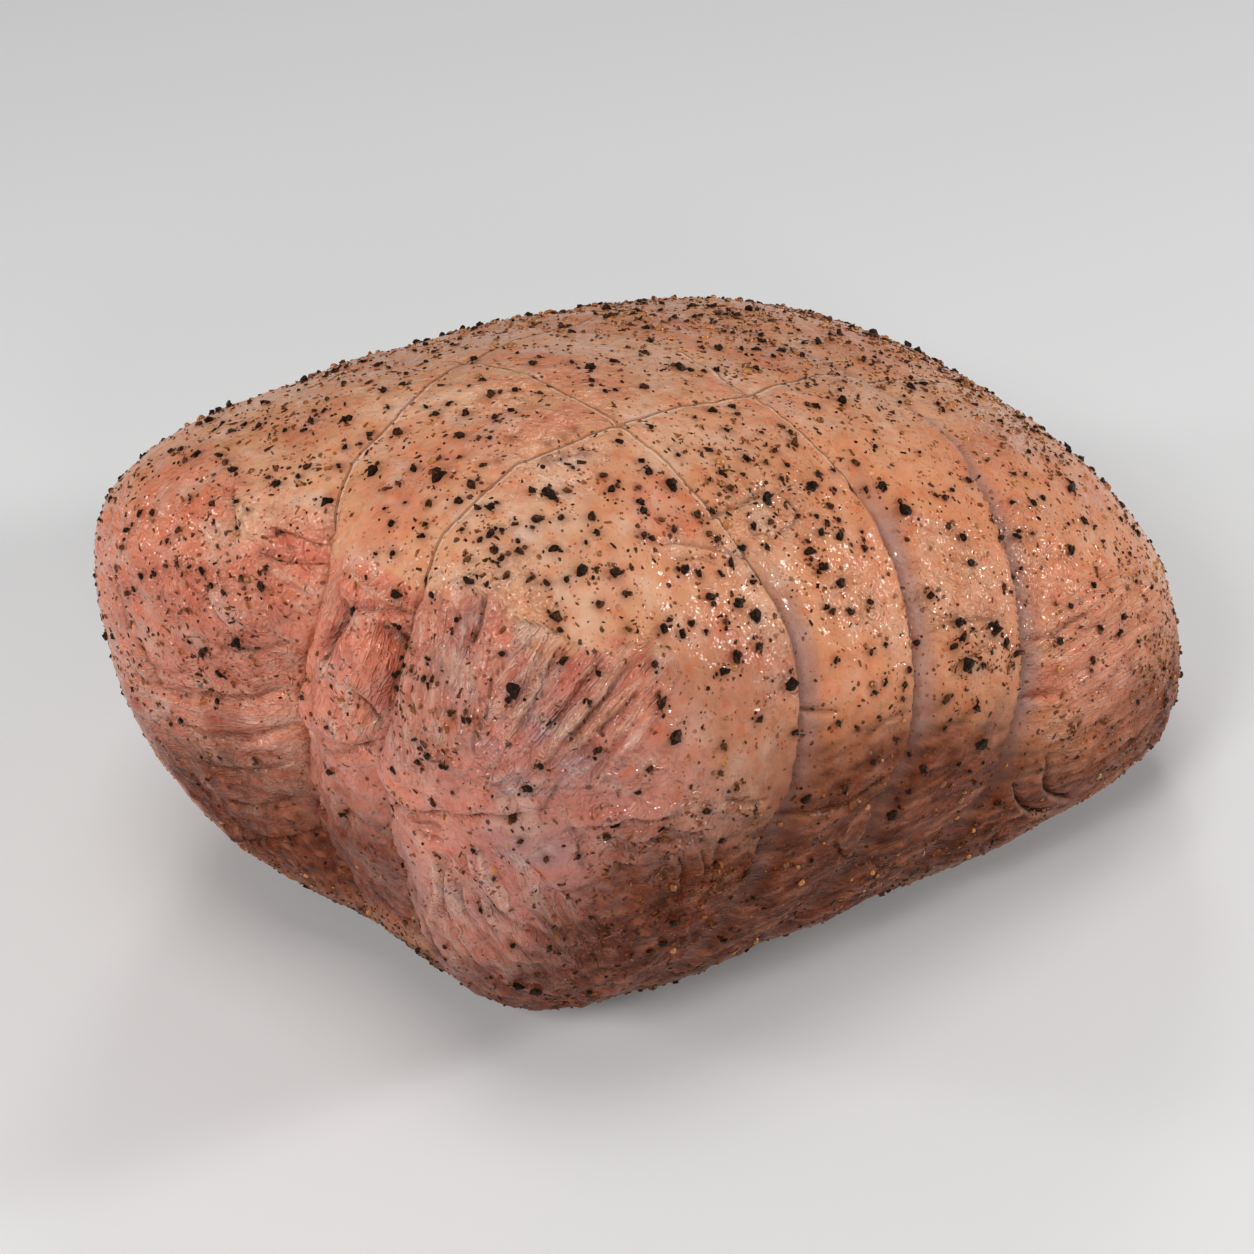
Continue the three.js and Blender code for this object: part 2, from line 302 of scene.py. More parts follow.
def across_line(line, along):
    """How far each vertex is from a string's line, in millimetres over the skin."""
    own, other = (0, 1) if along == "hoop" else (1, 0)
    slope = np.zeros(3)
    slope[own], slope[other], slope[2] = 1.0, -line["turn"], -line["lean"]

    def beside(places):
        return places @ slope - line["at"]

    def turn_about(places):
        return np.arctan2(places[:, 2] - STRING_MIDDLE_Z, places[:, other])

    off = beside(points)
    hits = [on_ham(across, down, smooth_ham) for across, down in line["seen"]]
    hits = np.array([hit for hit in hits if hit is not None])
    if len(hits):
        turns = turn_about(hits)
        order = np.argsort(turns)
        first, last = turns.min() - BLEND_TURN, turns.max() + BLEND_TURN
        knots = np.concatenate([[first], turns[order], [last]])
        shifts = np.concatenate([[0.0], beside(hits)[order], [0.0]])
        off = off - np.interp(turn_about(points), knots, shifts)
    level = slope - (normals @ slope)[:, None] * normals
    return off / np.clip(np.linalg.norm(level, axis=1), 0.35, None)


def profile(across, wide, lap):
    """A string groove's depth over its own distance: a sharp cleft, steep on the side
    whose bank laps over it and easy on the other."""
    far = across * -lap
    steep = np.exp(-np.clip(-far, 0, None) / (0.55 * wide))
    easy = np.exp(-np.clip(far, 0, None) / wide)
    return np.where(far < 0, steep, easy)


CLEFT_WIDTH = 1.1
UNSEEN_WIDENING = 1.2
STRIP_START = 1.0
STRIP_WIDTH = 5.0
STRIP_DEPTH = 0.9
HOOP_VALLEY = 3.2
HOOP_VALLEY_WIDTH = 8.0
HOOP_CLEFT = 1.7
END_VALLEY = 8.0
END_VALLEY_WIDTH = 9.0
END_CLEFT = 2.0
TIGHT_FROM = 0.25
TIGHT_TO = 0.8
BANK = 0.9
BANK_AT = 1.8
BANK_WIDTH = 1.6
BANK_LAP = 0.9
MARK_DEPTH = 0.35
MARK_WIDTH = 0.7
MARK_STRENGTH = 0.55
LINE_REACH = 3.0
FOLD_REACH = 1.8
FAR_OFF = 500.0

sink = np.zeros(len(points))
cleft = np.zeros(len(points))
strip = np.zeros(len(points))
lapping = np.zeros((len(points), 3))
string_off = np.full(len(points), FAR_OFF)
string_near = np.zeros(len(points))
hoop_grip = np.maximum(
    smoothstep(HOOP_FREE_Z, HOOP_TIGHT_Z, points[:, 2]),
    BACK_GRIP * smoothstep(BACK_FREE_Y, BACK_TIGHT_Y, points[:, 1]))
end_grip = smoothstep(END_FREE_X, END_TIGHT_X, points[:, 0]) \
    * smoothstep(END_FREE_Z, END_TIGHT_Z, points[:, 2]) \
    * smoothstep(FOOT_FREE_Z, FOOT_TIGHT_Z, points[:, 2])


def press(line, along, grip, valley, valley_width, cleft_depth, smooth_strip=1.0):
    """Presses one string's line into the skin, with a smooth strip where the skin slid."""
    global sink, cleft, strip, lapping, string_off, string_near
    across = across_line(line, along)
    far = across * -line["lap"]
    wide = 1 + UNSEEN_WIDENING * (1 - seen)
    tight = smoothstep(TIGHT_FROM, TIGHT_TO, grip)
    sink = sink + grip * valley * profile(across, valley_width, line["lap"])
    crack = np.exp(-(across / (CLEFT_WIDTH * wide)) ** 2)
    sink = sink + tight * cleft_depth * crack
    cleft = np.maximum(cleft, tight * crack)
    flat_strip = smoothstep(-0.5, STRIP_START, far / wide)
    flat_strip = flat_strip * smoothstep(STRIP_WIDTH + 2, STRIP_WIDTH - 2, far)
    strip = np.maximum(strip, smooth_strip * tight * flat_strip)
    sink = sink + smooth_strip * STRIP_DEPTH * tight * flat_strip
    bank = np.exp(-((far / wide + BANK_AT) / BANK_WIDTH) ** 2) * tight * seen
    sink = sink - BANK * bank
    slope = np.zeros(3)
    slope[0 if along == "hoop" else 1] = -line["lap"]
    lapping = lapping + (BANK_LAP * bank)[:, None] * slope
    sink = sink + MARK_DEPTH * (1 - tight) * np.exp(-(across / (1.6 * MARK_WIDTH)) ** 2)
    closer = np.abs(far) < np.abs(string_off)
    near = smoothstep(LINE_REACH * wide * wide, 0.6 * LINE_REACH * wide, np.abs(far))
    near = near * (MARK_STRENGTH + (1 - MARK_STRENGTH) * tight)
    string_near = np.where(closer, near, string_near)
    string_off = np.where(closer, far, string_off)


for hoop in (HOOP_C, HOOP_D, HOOP_E, HOOP_FAR):
    press(hoop, "hoop", hoop_grip, HOOP_VALLEY, HOOP_VALLEY_WIDTH, HOOP_CLEFT)
for cord_line in (LENGTHWISE_A, LENGTHWISE_B):
    press(cord_line, "lengthwise", end_grip, END_VALLEY, END_VALLEY_WIDTH, END_CLEFT, smooth_strip=0.0)


# Folds, slits and ridges
# Where the string drew the meat together, the skin and the muscle under it folded,
# tore and stretched. Each fold follows a path over the skin, given as it is seen in
# the view, and is pressed in or raised across it, with a bank on one side or both.
PATH_STEP = 5.0
rise = np.zeros(len(points))
dark = np.zeros(len(points))
light = np.zeros(len(points))
fold_off = np.full(len(points), LINE_REACH)
fold_near = np.zeros(len(points))
fold_gap = np.full(len(points), 2 * LINE_REACH)
sideways = np.zeros((len(points), 3))


def lay_path(seen_path):
    """A soft path over the skin through places in the view, in millimetres."""
    corners = np.array(seen_path, dtype=float)
    lengths = np.concatenate([[0.0], np.cumsum(np.linalg.norm(np.diff(corners, axis=0), axis=1))])
    count = max(3, int(lengths[-1] / PATH_STEP))
    steps = np.linspace(0, lengths[-1], count)
    across = np.interp(steps, lengths, corners[:, 0])
    down = np.interp(steps, lengths, corners[:, 1])
    for _ in range(2):
        across[1:-1] = (across[:-2] + 2 * across[1:-1] + across[2:]) / 4
        down[1:-1] = (down[:-2] + 2 * down[1:-1] + down[2:]) / 4
    hits = [on_ham(x, y, smooth_ham) for x, y in zip(across, down)]
    return np.array([hit for hit in hits if hit is not None])


def beside_path(path, reach):
    """The vertices near a path: which they are, how far to its right, how far along."""
    inside = np.all((points > path.min(axis=0) - reach) & (points < path.max(axis=0) + reach), axis=1)
    near = np.nonzero(inside)[0]
    here = points[near]
    run = path[1:] - path[:-1]
    share = np.sum((here[:, None] - path[:-1]) * run, axis=2) / np.sum(run * run, axis=1)
    share = np.clip(share, 0, 1)
    gap = here[:, None] - (path[:-1] + share[:, :, None] * run)
    distance = np.linalg.norm(gap, axis=2)
    best = np.argmin(distance, axis=1)
    row = np.arange(len(near))
    gap, distance, share, run = gap[row, best], distance[row, best], share[row, best], run[best]
    right_hand = unit(np.cross(run, normals[near]))
    side = np.where(np.sum(right_hand * gap, axis=1) < 0, -1.0, 1.0)
    along = (best + share) / (len(path) - 1)
    keep = distance < reach
    return near[keep], (distance * side)[keep], along[keep], right_hand[keep]


def fold(seen_path, depth, width, bank=0.0, lap=0.0, shade=0.4):
    """Presses a fold in along a path. A bank above zero stands up on the path's right as
    it is walked in the view, below zero on its left, and lap draws it over the fold."""
    path = lay_path(seen_path)
    near, off, along, right_hand = beside_path(path, 5 * width + 2)
    ends = smoothstep(0, 0.18, along) * smoothstep(1, 0.82, along)
    trough = np.exp(-(off / width) ** 2) * ends
    rise[near] -= depth * trough
    if bank:
        side = math.copysign(1.0, bank)
        far = off * side
        shoulder = np.where(far > 0, np.exp(-((far - 1.3 * width) / (1.5 * width)) ** 2), 0) * ends
        rise[near] += abs(bank) * shoulder
        sideways[near] -= right_hand * (lap * side * shoulder)[:, None]
    # Painted shade along the fold's trough, as dark as its shade asks.
    crack = np.exp(-(off / (0.6 * width)) ** 2) * ends
    dark[near] = np.maximum(dark[near], shade * crack)
    far = off * math.copysign(1.0, bank)
    clear = smoothstep(FOLD_REACH, FOLD_REACH + 1.5, fold_gap[near])
    nearness = smoothstep(FOLD_REACH, 0.6 * FOLD_REACH, np.abs(far)) * ends * shade * clear
    written = (fold_gap[near] > FOLD_REACH) & (np.abs(far) < FOLD_REACH)
    fold_near[near] = np.where(written, nearness, fold_near[near])
    fold_off[near] = np.where(written, far, fold_off[near])
    fold_gap[near] = np.minimum(fold_gap[near], np.abs(far))


def ridge(seen_path, height, width, shine=0.5):
    """Raises a sinew or a roll of muscle along a path, with a painted highlight on its crest."""
    near, off, along, _ = beside_path(lay_path(seen_path), 4 * width)
    ends = smoothstep(0, 0.2, along) * smoothstep(1, 0.8, along)
    crest = np.exp(-(off / width) ** 2) * ends
    rise[near] += height * crest
    light[near] = np.maximum(light[near], shine * crest)


def lump(seen_place, radius, height):
    """Raises a round lump, or presses a dimple where the height is below zero."""
    centre = on_ham(*seen_place, smooth_ham)
    away = np.linalg.norm(points - centre, axis=1)
    rise[:] += height * np.exp(-(away / radius) ** 2)


# A fold's row holds its path, depth and width, then its bank, lap and shade where it has
# them; a ridge's its path, height and width, then its shine; a lump's its place, radius
# and height. Sizes are millimetres, places are as seen in the view.
LEFT_LOBE = [
    (fold, [(262, 523), (285, 527), (311, 537)], 1.0, 0.8, -0.9, 0.8),
    (fold, [(247, 548), (262, 558), (274, 563), (296, 560), (312, 553)], 1.2, 1.0, 0.9, 0.6),
    (lump, (288, 546), 6, -2.2),
    (lump, (246, 505), 6, 1.0),
    (fold, [(232, 478), (233, 510), (238, 540)], 0.7, 0.9, -0.4),
    (ridge, [(262, 572), (281, 582), (296, 604)], 0.8, 0.6),
    (ridge, [(282, 575), (289, 591), (292, 610)], 0.6, 0.5),
    (ridge, [(197, 520), (205, 530), (212, 543)], 0.5, 0.7, 0.8),
    (ridge, [(213, 518), (222, 528), (228, 542)], 0.5, 0.7, 0.8),
    (lump, (230, 605), 6, 1.2),
    (fold, [(203, 585), (206, 603), (214, 618), (226, 632)], 0.8, 0.8, -0.5),
    (lump, (245, 625), 4, 0.7),
    (fold, [(150, 688), (175, 695), (205, 703), (240, 708), (278, 700)], 1.6, 1.4, 0.9, 0.5),
    (fold, [(160, 715), (185, 730), (215, 742), (250, 745), (280, 738)], 1.2, 1.3, 0.7, 0.3),
    (fold, [(190, 758), (215, 772), (245, 780), (282, 778)], 1.2, 1.3, 0.7, 0.3),
    (fold, [(222, 800), (250, 812), (292, 815)], 1.0, 1.2, 0.6),
    (fold, [(215, 832), (245, 842), (270, 842), (288, 847), (312, 849)], 1.6, 1.2, -0.9, 0.5),
    (fold, [(205, 640), (225, 655), (250, 660), (276, 652)], 0.7, 1.2, 0.4),
    (fold, [(135, 640), (150, 665), (160, 690)], 0.7, 1.3, 0.4),
    (fold, [(110, 560), (118, 600), (128, 640)], 0.5, 1.5, 0.3),
    (lump, (225, 790), 5, 0.9),
    (lump, (262, 728), 4, 0.9),
    (lump, (240, 725), 4, 0.7),
    (lump, (270, 826), 4, 1.0),
]
BETWEEN_LINES = [
    (fold, [(337, 594), (331, 610), (323, 628), (311, 648), (303, 673)], 4.2, 1.9, 0.9, 0.6, 1.0),
    (ridge, [(340, 600), (327, 632), (316, 652), (304, 680)], 0.7, 0.7),
    (fold, [(378, 618), (372, 632), (377, 656), (370, 690), (363, 722), (359, 748)], 4.0, 2.2, 0, 0, 1.0),
    (lump, (344, 660), 8, 1.6),
    (ridge, [(341, 563), (356, 583), (376, 596), (403, 606)], 0.8, 0.6, 0.9),
    (ridge, [(333, 593), (346, 603)], 0.9, 0.8),
    (fold, [(345, 604), (362, 608), (385, 606), (402, 610)], 1.4, 1.2, 0.6),
    (ridge, [(326, 702), (336, 722), (350, 748)], 1.3, 1.0),
    (fold, [(338, 700), (347, 722), (355, 745)], 1.6, 1.0, 0, 0, 0.9),
    (fold, [(285, 732), (303, 741), (325, 749), (341, 757), (356, 755)], 1.8, 1.1, -1.0, 0.7, 0.9),
    (lump, (284, 715), 3.5, 1.2),
    (lump, (306, 722), 3.0, 0.9),
    (fold, [(310, 760), (325, 761), (340, 762)], 0.9, 1.1, 0.5),
    (fold, [(337, 812), (334, 828), (334, 846)], 1.5, 1.6),
    (fold, [(336, 846), (353, 850), (360, 860)], 1.0, 1.1, -0.5),
]
FRONT_LOBE = [
    (fold, [(362, 784), (383, 800), (400, 812), (420, 820), (436, 816), (467, 815), (486, 813),
           (512, 817), (536, 811)], 2.3, 1.3, -1.1, 0.9, 1.0),
    (fold, [(366, 800), (386, 813), (406, 821), (416, 830), (444, 838)], 1.4, 0.8, 0.9, 0.5),
    (fold, [(378, 812), (390, 823), (411, 833), (423, 843), (446, 847)], 1.3, 0.8, 0.9, 0.5),
    (lump, (375, 776), 4, 1.6),
    (lump, (437, 828), 5, -1.6),
    (ridge, [(432, 868), (440, 881), (436, 903), (428, 916), (429, 931)], 1.2, 0.9, 0.7),
    (fold, [(449, 848), (443, 873), (444, 897), (449, 919), (466, 947), (484, 970), (502, 987)], 1.1, 0.9,
           -0.9, 0.6),
    (fold, [(462, 846), (469, 869), (482, 886), (491, 899), (512, 919), (532, 934)], 1.1, 0.9, -0.9, 0.6),
    (fold, [(459, 878), (462, 906), (479, 926), (502, 949), (519, 967)], 0.9, 0.9, -0.7, 0.4),
    (fold, [(477, 890), (487, 919), (505, 936)], 0.8, 0.8, -0.6, 0.4),
    (fold, [(480, 894), (500, 913), (521, 923), (548, 940)], 0.7, 1.0, 0.5),
    (fold, [(529, 910), (547, 923), (568, 938)], 0.6, 0.9, 0.5),
    (fold, [(504, 939), (525, 951), (548, 962)], 0.6, 0.9, 0.5),
    (fold, [(480, 962), (494, 981), (518, 995)], 0.7, 1.0, 0.4),
    (fold, [(395, 880), (410, 915), (432, 950), (455, 978)], 0.8, 1.1, 0.5),
    (fold, [(563, 640), (551, 668), (532, 706), (510, 748)], 1.0, 1.1),
    (ridge, [(558, 634), (546, 664), (526, 705), (503, 746)], 1.0, 0.7, 0.9),
    (fold, [(548, 640), (538, 664), (516, 700), (494, 736)], 0.8, 0.9),
    (ridge, [(541, 650), (528, 682), (508, 716), (496, 738)], 0.6, 0.6, 0.5),
    (fold, [(606, 650), (590, 678), (566, 712), (540, 744)], 1.3, 1.3),
    (ridge, [(643, 632), (622, 658), (606, 681), (582, 709), (551, 744), (541, 758), (525, 785)], 1.3,
            0.9, 0.9),
    (fold, [(640, 652), (614, 690), (590, 718), (562, 748)], 1.2, 1.0),
    (ridge, [(646, 672), (622, 699), (598, 724), (572, 746), (556, 762)], 1.0, 0.8, 0.9),
    (fold, [(644, 690), (620, 714), (594, 738)], 0.9, 1.0),
    (ridge, [(650, 700), (628, 722), (604, 742), (586, 760)], 0.6, 0.8, 0.5),
    (ridge, [(610, 640), (596, 664), (580, 684)], 0.5, 0.6, 0.5),
    (fold, [(487, 592), (476, 628), (467, 648)], 1.0, 0.9, -0.6, 0, 0.8),
    (lump, (452, 640), 8, -1.4),
    (fold, [(559, 783), (548, 800), (537, 815)], 0.9, 0.8, 0.8, 0.4),
    (fold, [(560, 834), (582, 824), (608, 822), (622, 813), (643, 818), (667, 812), (690, 808)], 1.8, 1.1,
           -1.5, 1.1, 0.7),
    (fold, [(604, 836), (630, 842), (655, 838)], 1.0, 0.9, -0.8, 0.6),
    (fold, [(664, 826), (690, 832), (716, 826)], 1.1, 0.9, -0.9, 0.7),
    (fold, [(612, 860), (640, 868), (668, 858)], 0.9, 1.0, -0.7, 0.5),
    (fold, [(676, 852), (684, 872), (678, 894)], 0.9, 0.9, 0.7, 0.4),
    (fold, [(700, 846), (706, 868), (700, 890)], 0.8, 0.8, 0.6, 0.4),
    (fold, [(585, 828), (578, 850), (584, 872)], 0.5, 1.0, 0.4),
    (fold, [(623, 939), (649, 923), (670, 902), (694, 882)], 0.8, 1.0, 0.5),
    (fold, [(540, 893), (580, 892), (620, 876), (655, 866)], 0.5, 0.9, 0.4),
    (fold, [(719, 835), (716, 856), (716, 872)], 0.8, 0.9, 0.6),
    (fold, [(766, 838), (762, 862), (745, 894)], 0.9, 0.9, -0.6),
    (fold, [(704, 902), (725, 882), (750, 870)], 0.7, 0.9, 0.5),
    (fold, [(650, 845), (680, 838), (712, 842)], 0.8, 1.0, 0.6),
    (fold, [(680, 905), (705, 880), (735, 850)], 0.5, 1.0, 0.4),
    (fold, [(640, 890), (662, 872), (690, 862)], 0.6, 0.9, 0.4),
    (fold, [(720, 800), (745, 806), (775, 800)], 0.7, 1.0, 0.5),
    (lump, (768, 642), 3, -0.5),
]
SIDE_BANDS = [
    (fold, [(690, 525), (715, 514), (740, 506), (765, 486), (782, 494), (800, 510), (796, 525),
           (780, 530), (766, 545)], 0.9, 0.8, 0.5),
    (fold, [(648, 545), (680, 541), (715, 548), (742, 553), (760, 560)], 0.6, 0.8, 0.4),
    (fold, [(672, 560), (700, 556), (722, 566)], 0.4, 0.7, 0.3),
    (fold, [(808, 714), (826, 716), (845, 712)], 0.9, 0.9, 0.5),
    (fold, [(868, 741), (887, 722), (914, 714)], 0.6, 0.9, 0.4),
    (fold, [(779, 829), (801, 819), (832, 813), (854, 805), (871, 793), (896, 780)], 1.0, 1.1, 0.7, 0.3),
    (fold, [(836, 841), (847, 854), (847, 868)], 0.9, 0.8, -0.7, 0.4),
    (fold, [(870, 861), (877, 873), (905, 872)], 0.8, 0.9, 0.5),
    (fold, [(930, 640), (952, 622), (985, 618), (1015, 622)], 0.5, 1.0, 0.4),
    (fold, [(958, 668), (980, 655), (993, 640)], 0.6, 0.8, 0.5),
    (fold, [(905, 800), (930, 788), (955, 770)], 0.5, 1.0, 0.4),
]
BUTT_END = [
    (fold, [(1029, 643), (1046, 641), (1062, 636), (1080, 622), (1096, 608)], 1.3, 0.9, 0.6, 0.3),
    (fold, [(1040, 668), (1060, 655), (1082, 641), (1104, 620), (1124, 602)], 0.8, 1.6, 0.5, 0, 0.1),
    (fold, [(1060, 690), (1084, 672), (1104, 654), (1124, 631), (1153, 609), (1170, 601)], 1.2, 2.4, 0.8,
           0, 0.1),
    (fold, [(1078, 712), (1102, 690), (1122, 666), (1142, 645), (1168, 626)], 1.0, 2.2, 0.7, 0, 0.1),
    (fold, [(1094, 561), (1109, 579), (1124, 601)], 0.8, 2.0, -0.4, 0, 0.1),
    (fold, [(1128, 560), (1138, 580), (1146, 600)], 0.6, 1.8, -0.4, 0, 0.1),
    (fold, [(1062, 781), (1094, 763), (1128, 742), (1150, 726)], 1.0, 1.3, -0.7, 0.4, 0.3),
    (fold, [(1052, 751), (1046, 774), (1044, 793), (1056, 800), (1076, 801)], 1.5, 1.0, 0.9, 0.6, 0.9),
    (fold, [(1018, 782), (1017, 803), (1025, 814), (1044, 814), (1062, 808)], 1.5, 1.0, 0.9, 0.6, 0.9),
    (fold, [(1030, 706), (1044, 702), (1062, 690)], 0.9, 0.9, 0.4),
    (fold, [(1080, 740), (1106, 724), (1132, 702), (1156, 684)], 0.8, 1.8, 0.5, 0, 0.1),
    (fold, [(1100, 786), (1126, 768), (1152, 742), (1166, 720)], 0.8, 1.5, 0.5, 0, 0.2),
    (fold, [(1032, 600), (1050, 606), (1070, 600)], 0.5, 1.2, 0.3, 0, 0.1),
    (fold, [(1036, 560), (1056, 556), (1076, 560)], 0.4, 1.4, 0.3, 0, 0.1),
]
for area in (LEFT_LOBE, BETWEEN_LINES, FRONT_LOBE, SIDE_BANDS, BUTT_END):
    for shape, *details in area:
        shape(*details)


# The small relief of the skin and the meat
# Skin is drawn into fine wrinkles that mostly run round the ham; bare meat is rougher
# and grained along its fibres, and what lies low is crumpled.
def rough(places, size, stretch=(1, 1, 1), detail=3, shift=0.0):
    """Soft random waves of the given size in millimetres, stretched along the axes."""
    scaled = places / (size * np.array(stretch)) + shift
    return np.array([noise.fractal(Vector(place), 0.8, 2.1, detail) for place in scaled])


def zone(outline, soft, ragged=6.0):
    """How much each vertex is within an outline drawn in the view, 0 to 1."""
    places = seen_places + ragged * zone_waves
    corners = np.array(outline, dtype=float)
    ends = np.roll(corners, -1, axis=0)
    inside = np.zeros(len(places), dtype=bool)
    nearest = np.full(len(places), 1e9)
    for (x0, y0), (x1, y1) in zip(corners, ends):
        crosses = (places[:, 1] < y0) != (places[:, 1] < y1)
        slope = (x1 - x0) / (y1 - y0) if y1 != y0 else 0.0
        inside ^= crosses & (places[:, 0] < x0 + slope * (places[:, 1] - y0))
        run = np.array([x1 - x0, y1 - y0])
        share = np.clip(((places - [x0, y0]) @ run) / (run @ run), 0, 1)
        gap = places - [x0, y0] - share[:, None] * run
        nearest = np.minimum(nearest, np.linalg.norm(gap, axis=1))
    signed = np.where(inside, nearest, -nearest)
    return smoothstep(-soft, soft, signed) * seen


seen_places = seen_at(points)
zone_waves = np.stack([rough(points, 9, shift=31.0), rough(points, 9, shift=57.0)], axis=1)

# Outlines as seen in the view: the bare meat of the front lobe, of the left lobe and
# between the lengthwise lines; meat with a grain; skin thick with pepper; creased skin.
FRONT_FLESH = [
    (408, 594), (440, 600), (456, 586), (487, 592), (502, 614), (526, 638), (549, 656),
    (571, 664), (600, 656), (625, 645), (650, 652), (690, 668), (715, 700), (722, 760),
    (770, 800), (760, 860), (700, 975), (600, 1030), (470, 1020), (370, 900), (345, 780),
    (368, 690), (395, 620),
]
FRONT_BARE = [(300, 540), (620, 540), (670, 660), (700, 760), (700, 1060), (300, 1060)]
LEFT_FLESH = [
    (80, 520), (150, 478), (205, 452), (238, 475), (240, 545), (262, 520), (320, 515),
    (300, 600), (272, 700), (292, 860), (200, 850), (110, 720), (80, 600),
]
STRIP_FLESH = [
    (312, 560), (345, 550), (396, 574), (412, 592), (388, 650), (362, 720), (352, 770),
    (375, 870), (410, 960), (330, 910), (290, 830), (272, 700), (296, 600),
]
GRAINED = [  # a run along the grain, and the outline of the meat that has it
    ([(643, 632), (527, 781)], [
        (512, 600), (600, 640), (668, 620), (705, 670), (650, 760), (590, 806), (500, 806), (455, 770),
        (470, 690), (490, 640),
    ]),
    ([(449, 860), (510, 968)], [
        (420, 850), (500, 830), (600, 900), (640, 960), (560, 1000), (470, 1000), (400, 920),
    ]),
    ([(560, 985), (840, 890)], [
        (600, 880), (700, 850), (900, 830), (1060, 800), (1180, 720), (1200, 800), (1000, 1000),
        (700, 1040), (620, 1000), (660, 940),
    ]),
    ([(150, 700), (280, 730)], [
        (90, 620), (200, 660), (280, 640), (300, 860), (200, 880), (90, 740),
    ]),
    ([(345, 590), (305, 690)], [
        (318, 560), (350, 560), (396, 574), (412, 592), (385, 660), (365, 760), (300, 750), (285, 690),
        (300, 610),
    ]),
    ([(1040, 700), (1150, 618)], [
        (1030, 640), (1090, 560), (1180, 560), (1200, 700), (1120, 790), (1040, 790),
    ]),
    ([(410, 620), (400, 720)], [
        (398, 600), (470, 600), (490, 650), (465, 740), (420, 790), (375, 760), (378, 680),
    ]),
]
PEPPERED = [
    [(398, 598), (470, 598), (500, 650), (480, 740), (430, 780), (372, 740), (378, 660)],
    [(190, 450), (250, 415), (345, 405), (345, 440), (300, 470), (240, 490), (200, 500)],
    [(95, 490), (200, 450), (245, 500), (230, 620), (150, 700), (100, 640)],
    [(180, 560), (280, 560), (270, 700), (200, 720), (160, 650)],
    [(620, 830), (790, 800), (760, 900), (690, 960), (560, 1010), (500, 980), (560, 900)],
    [(660, 430), (800, 425), (840, 500), (740, 520), (690, 490)],
    [(740, 330), (900, 360), (900, 420), (780, 390)],
    [(930, 610), (1020, 600), (1025, 690), (960, 690)],
    [(1060, 700), (1180, 640), (1180, 760), (1080, 800)],
]
CRINKLED = [
    [(915, 525), (960, 530), (1000, 560), (1012, 610), (1000, 650), (960, 640), (930, 600)],
    [(1012, 500), (1050, 510), (1062, 560), (1058, 620), (1034, 640), (1022, 570)],
    [(740, 600), (780, 610), (800, 650), (800, 700), (770, 690), (745, 640)],
    [(838, 560), (880, 560), (905, 600), (905, 650), (860, 640), (835, 600)],
    [(230, 490), (262, 495), (330, 520), (318, 560), (260, 575), (235, 545)],
    [(170, 575), (230, 570), (270, 600), (270, 660), (220, 690), (170, 650)],
    [(425, 565), (520, 560), (545, 610), (520, 650), (470, 610), (425, 600)],
    [(970, 410), (1040, 400), (1040, 450), (985, 455)],
    [(720, 490), (800, 480), (810, 540), (760, 580), (715, 550)],
    [(560, 785), (650, 770), (740, 790), (760, 850), (660, 860), (570, 860)],
    [(440, 690), (560, 700), (600, 790), (520, 810), (430, 770)],
]
front_flesh = zone(FRONT_FLESH, 13, ragged=16.0) * zone(FRONT_BARE, 70, ragged=20.0)
left_flesh = zone(LEFT_FLESH, 30, ragged=14.0)
strip_flesh = zone(STRIP_FLESH, 8)
flesh = np.maximum(np.maximum(front_flesh, left_flesh), strip_flesh)
crinkled = np.max([zone(outline, 26, ragged=16.0) for outline in CRINKLED], axis=0)
low_down = smoothstep(45, 12, points[:, 2])

waves = rough(points, 14, detail=3)
crumple = rough(points, 5.0, stretch=(1.0, 1.0, 0.7), detail=3, shift=9.0)
fine_wrinkles = rough(points, 2.4, stretch=(0.8, 0.8, 1.6), detail=2, shift=3.0)
GRAIN_SIZE = 2.0
GRAIN_LENGTH = 14.0
grain = np.zeros(len(points))
grain_way = np.zeros((len(points), 3))
for run, outline in GRAINED:
    start, end = [on_ham(*seen_place, smooth_ham) for seen_place in run]
    share = zone(outline, 16, ragged=8.0)
    stronger = share > grain
    grain_way[stronger] = unit(end - start)
    grain = np.abs(share - grain) * np.maximum(share, grain) + np.minimum(share, grain) * 0.15
GRAIN_PULL = 1 - GRAIN_SIZE / GRAIN_LENGTH
drawn_points = points - np.sum(points * grain_way, axis=1)[:, None] * grain_way * GRAIN_PULL
fibres = rough(drawn_points, GRAIN_SIZE, detail=2, shift=77.0)
peppered = np.max([zone(outline, 14, ragged=10.0) for outline in PEPPERED], axis=0)
streaks = rough(points, 1.9, stretch=(4.0, 1.0, 1.0), detail=2, shift=88.0)
creases = 1 - np.abs(rough(points + 2.0 * crumple[:, None], 3.6, detail=2, shift=45.0)) * 2.2
WAVE_HEIGHT = 0.55
WRINKLE_HEIGHT = 0.14
STREAK_HEIGHT = 0.55
FIBRE_HEIGHT = 0.50
PEPPER_HEIGHT = 0.25
quiet = 1 - 0.8 * strip
relief = WAVE_HEIGHT * waves
relief += (0.20 + 0.35 * flesh + 0.55 * low_down * seen) * crumple * quiet
relief += WRINKLE_HEIGHT * fine_wrinkles * quiet * (1 - flesh)
relief += STREAK_HEIGHT * low_down * seen * streaks
relief += FIBRE_HEIGHT * fibres * grain
relief += (0.05 + 0.15 * crinkled + 0.05 * flesh) * creases * quiet
relief += PEPPER_HEIGHT * peppered * fine_wrinkles
rise += relief


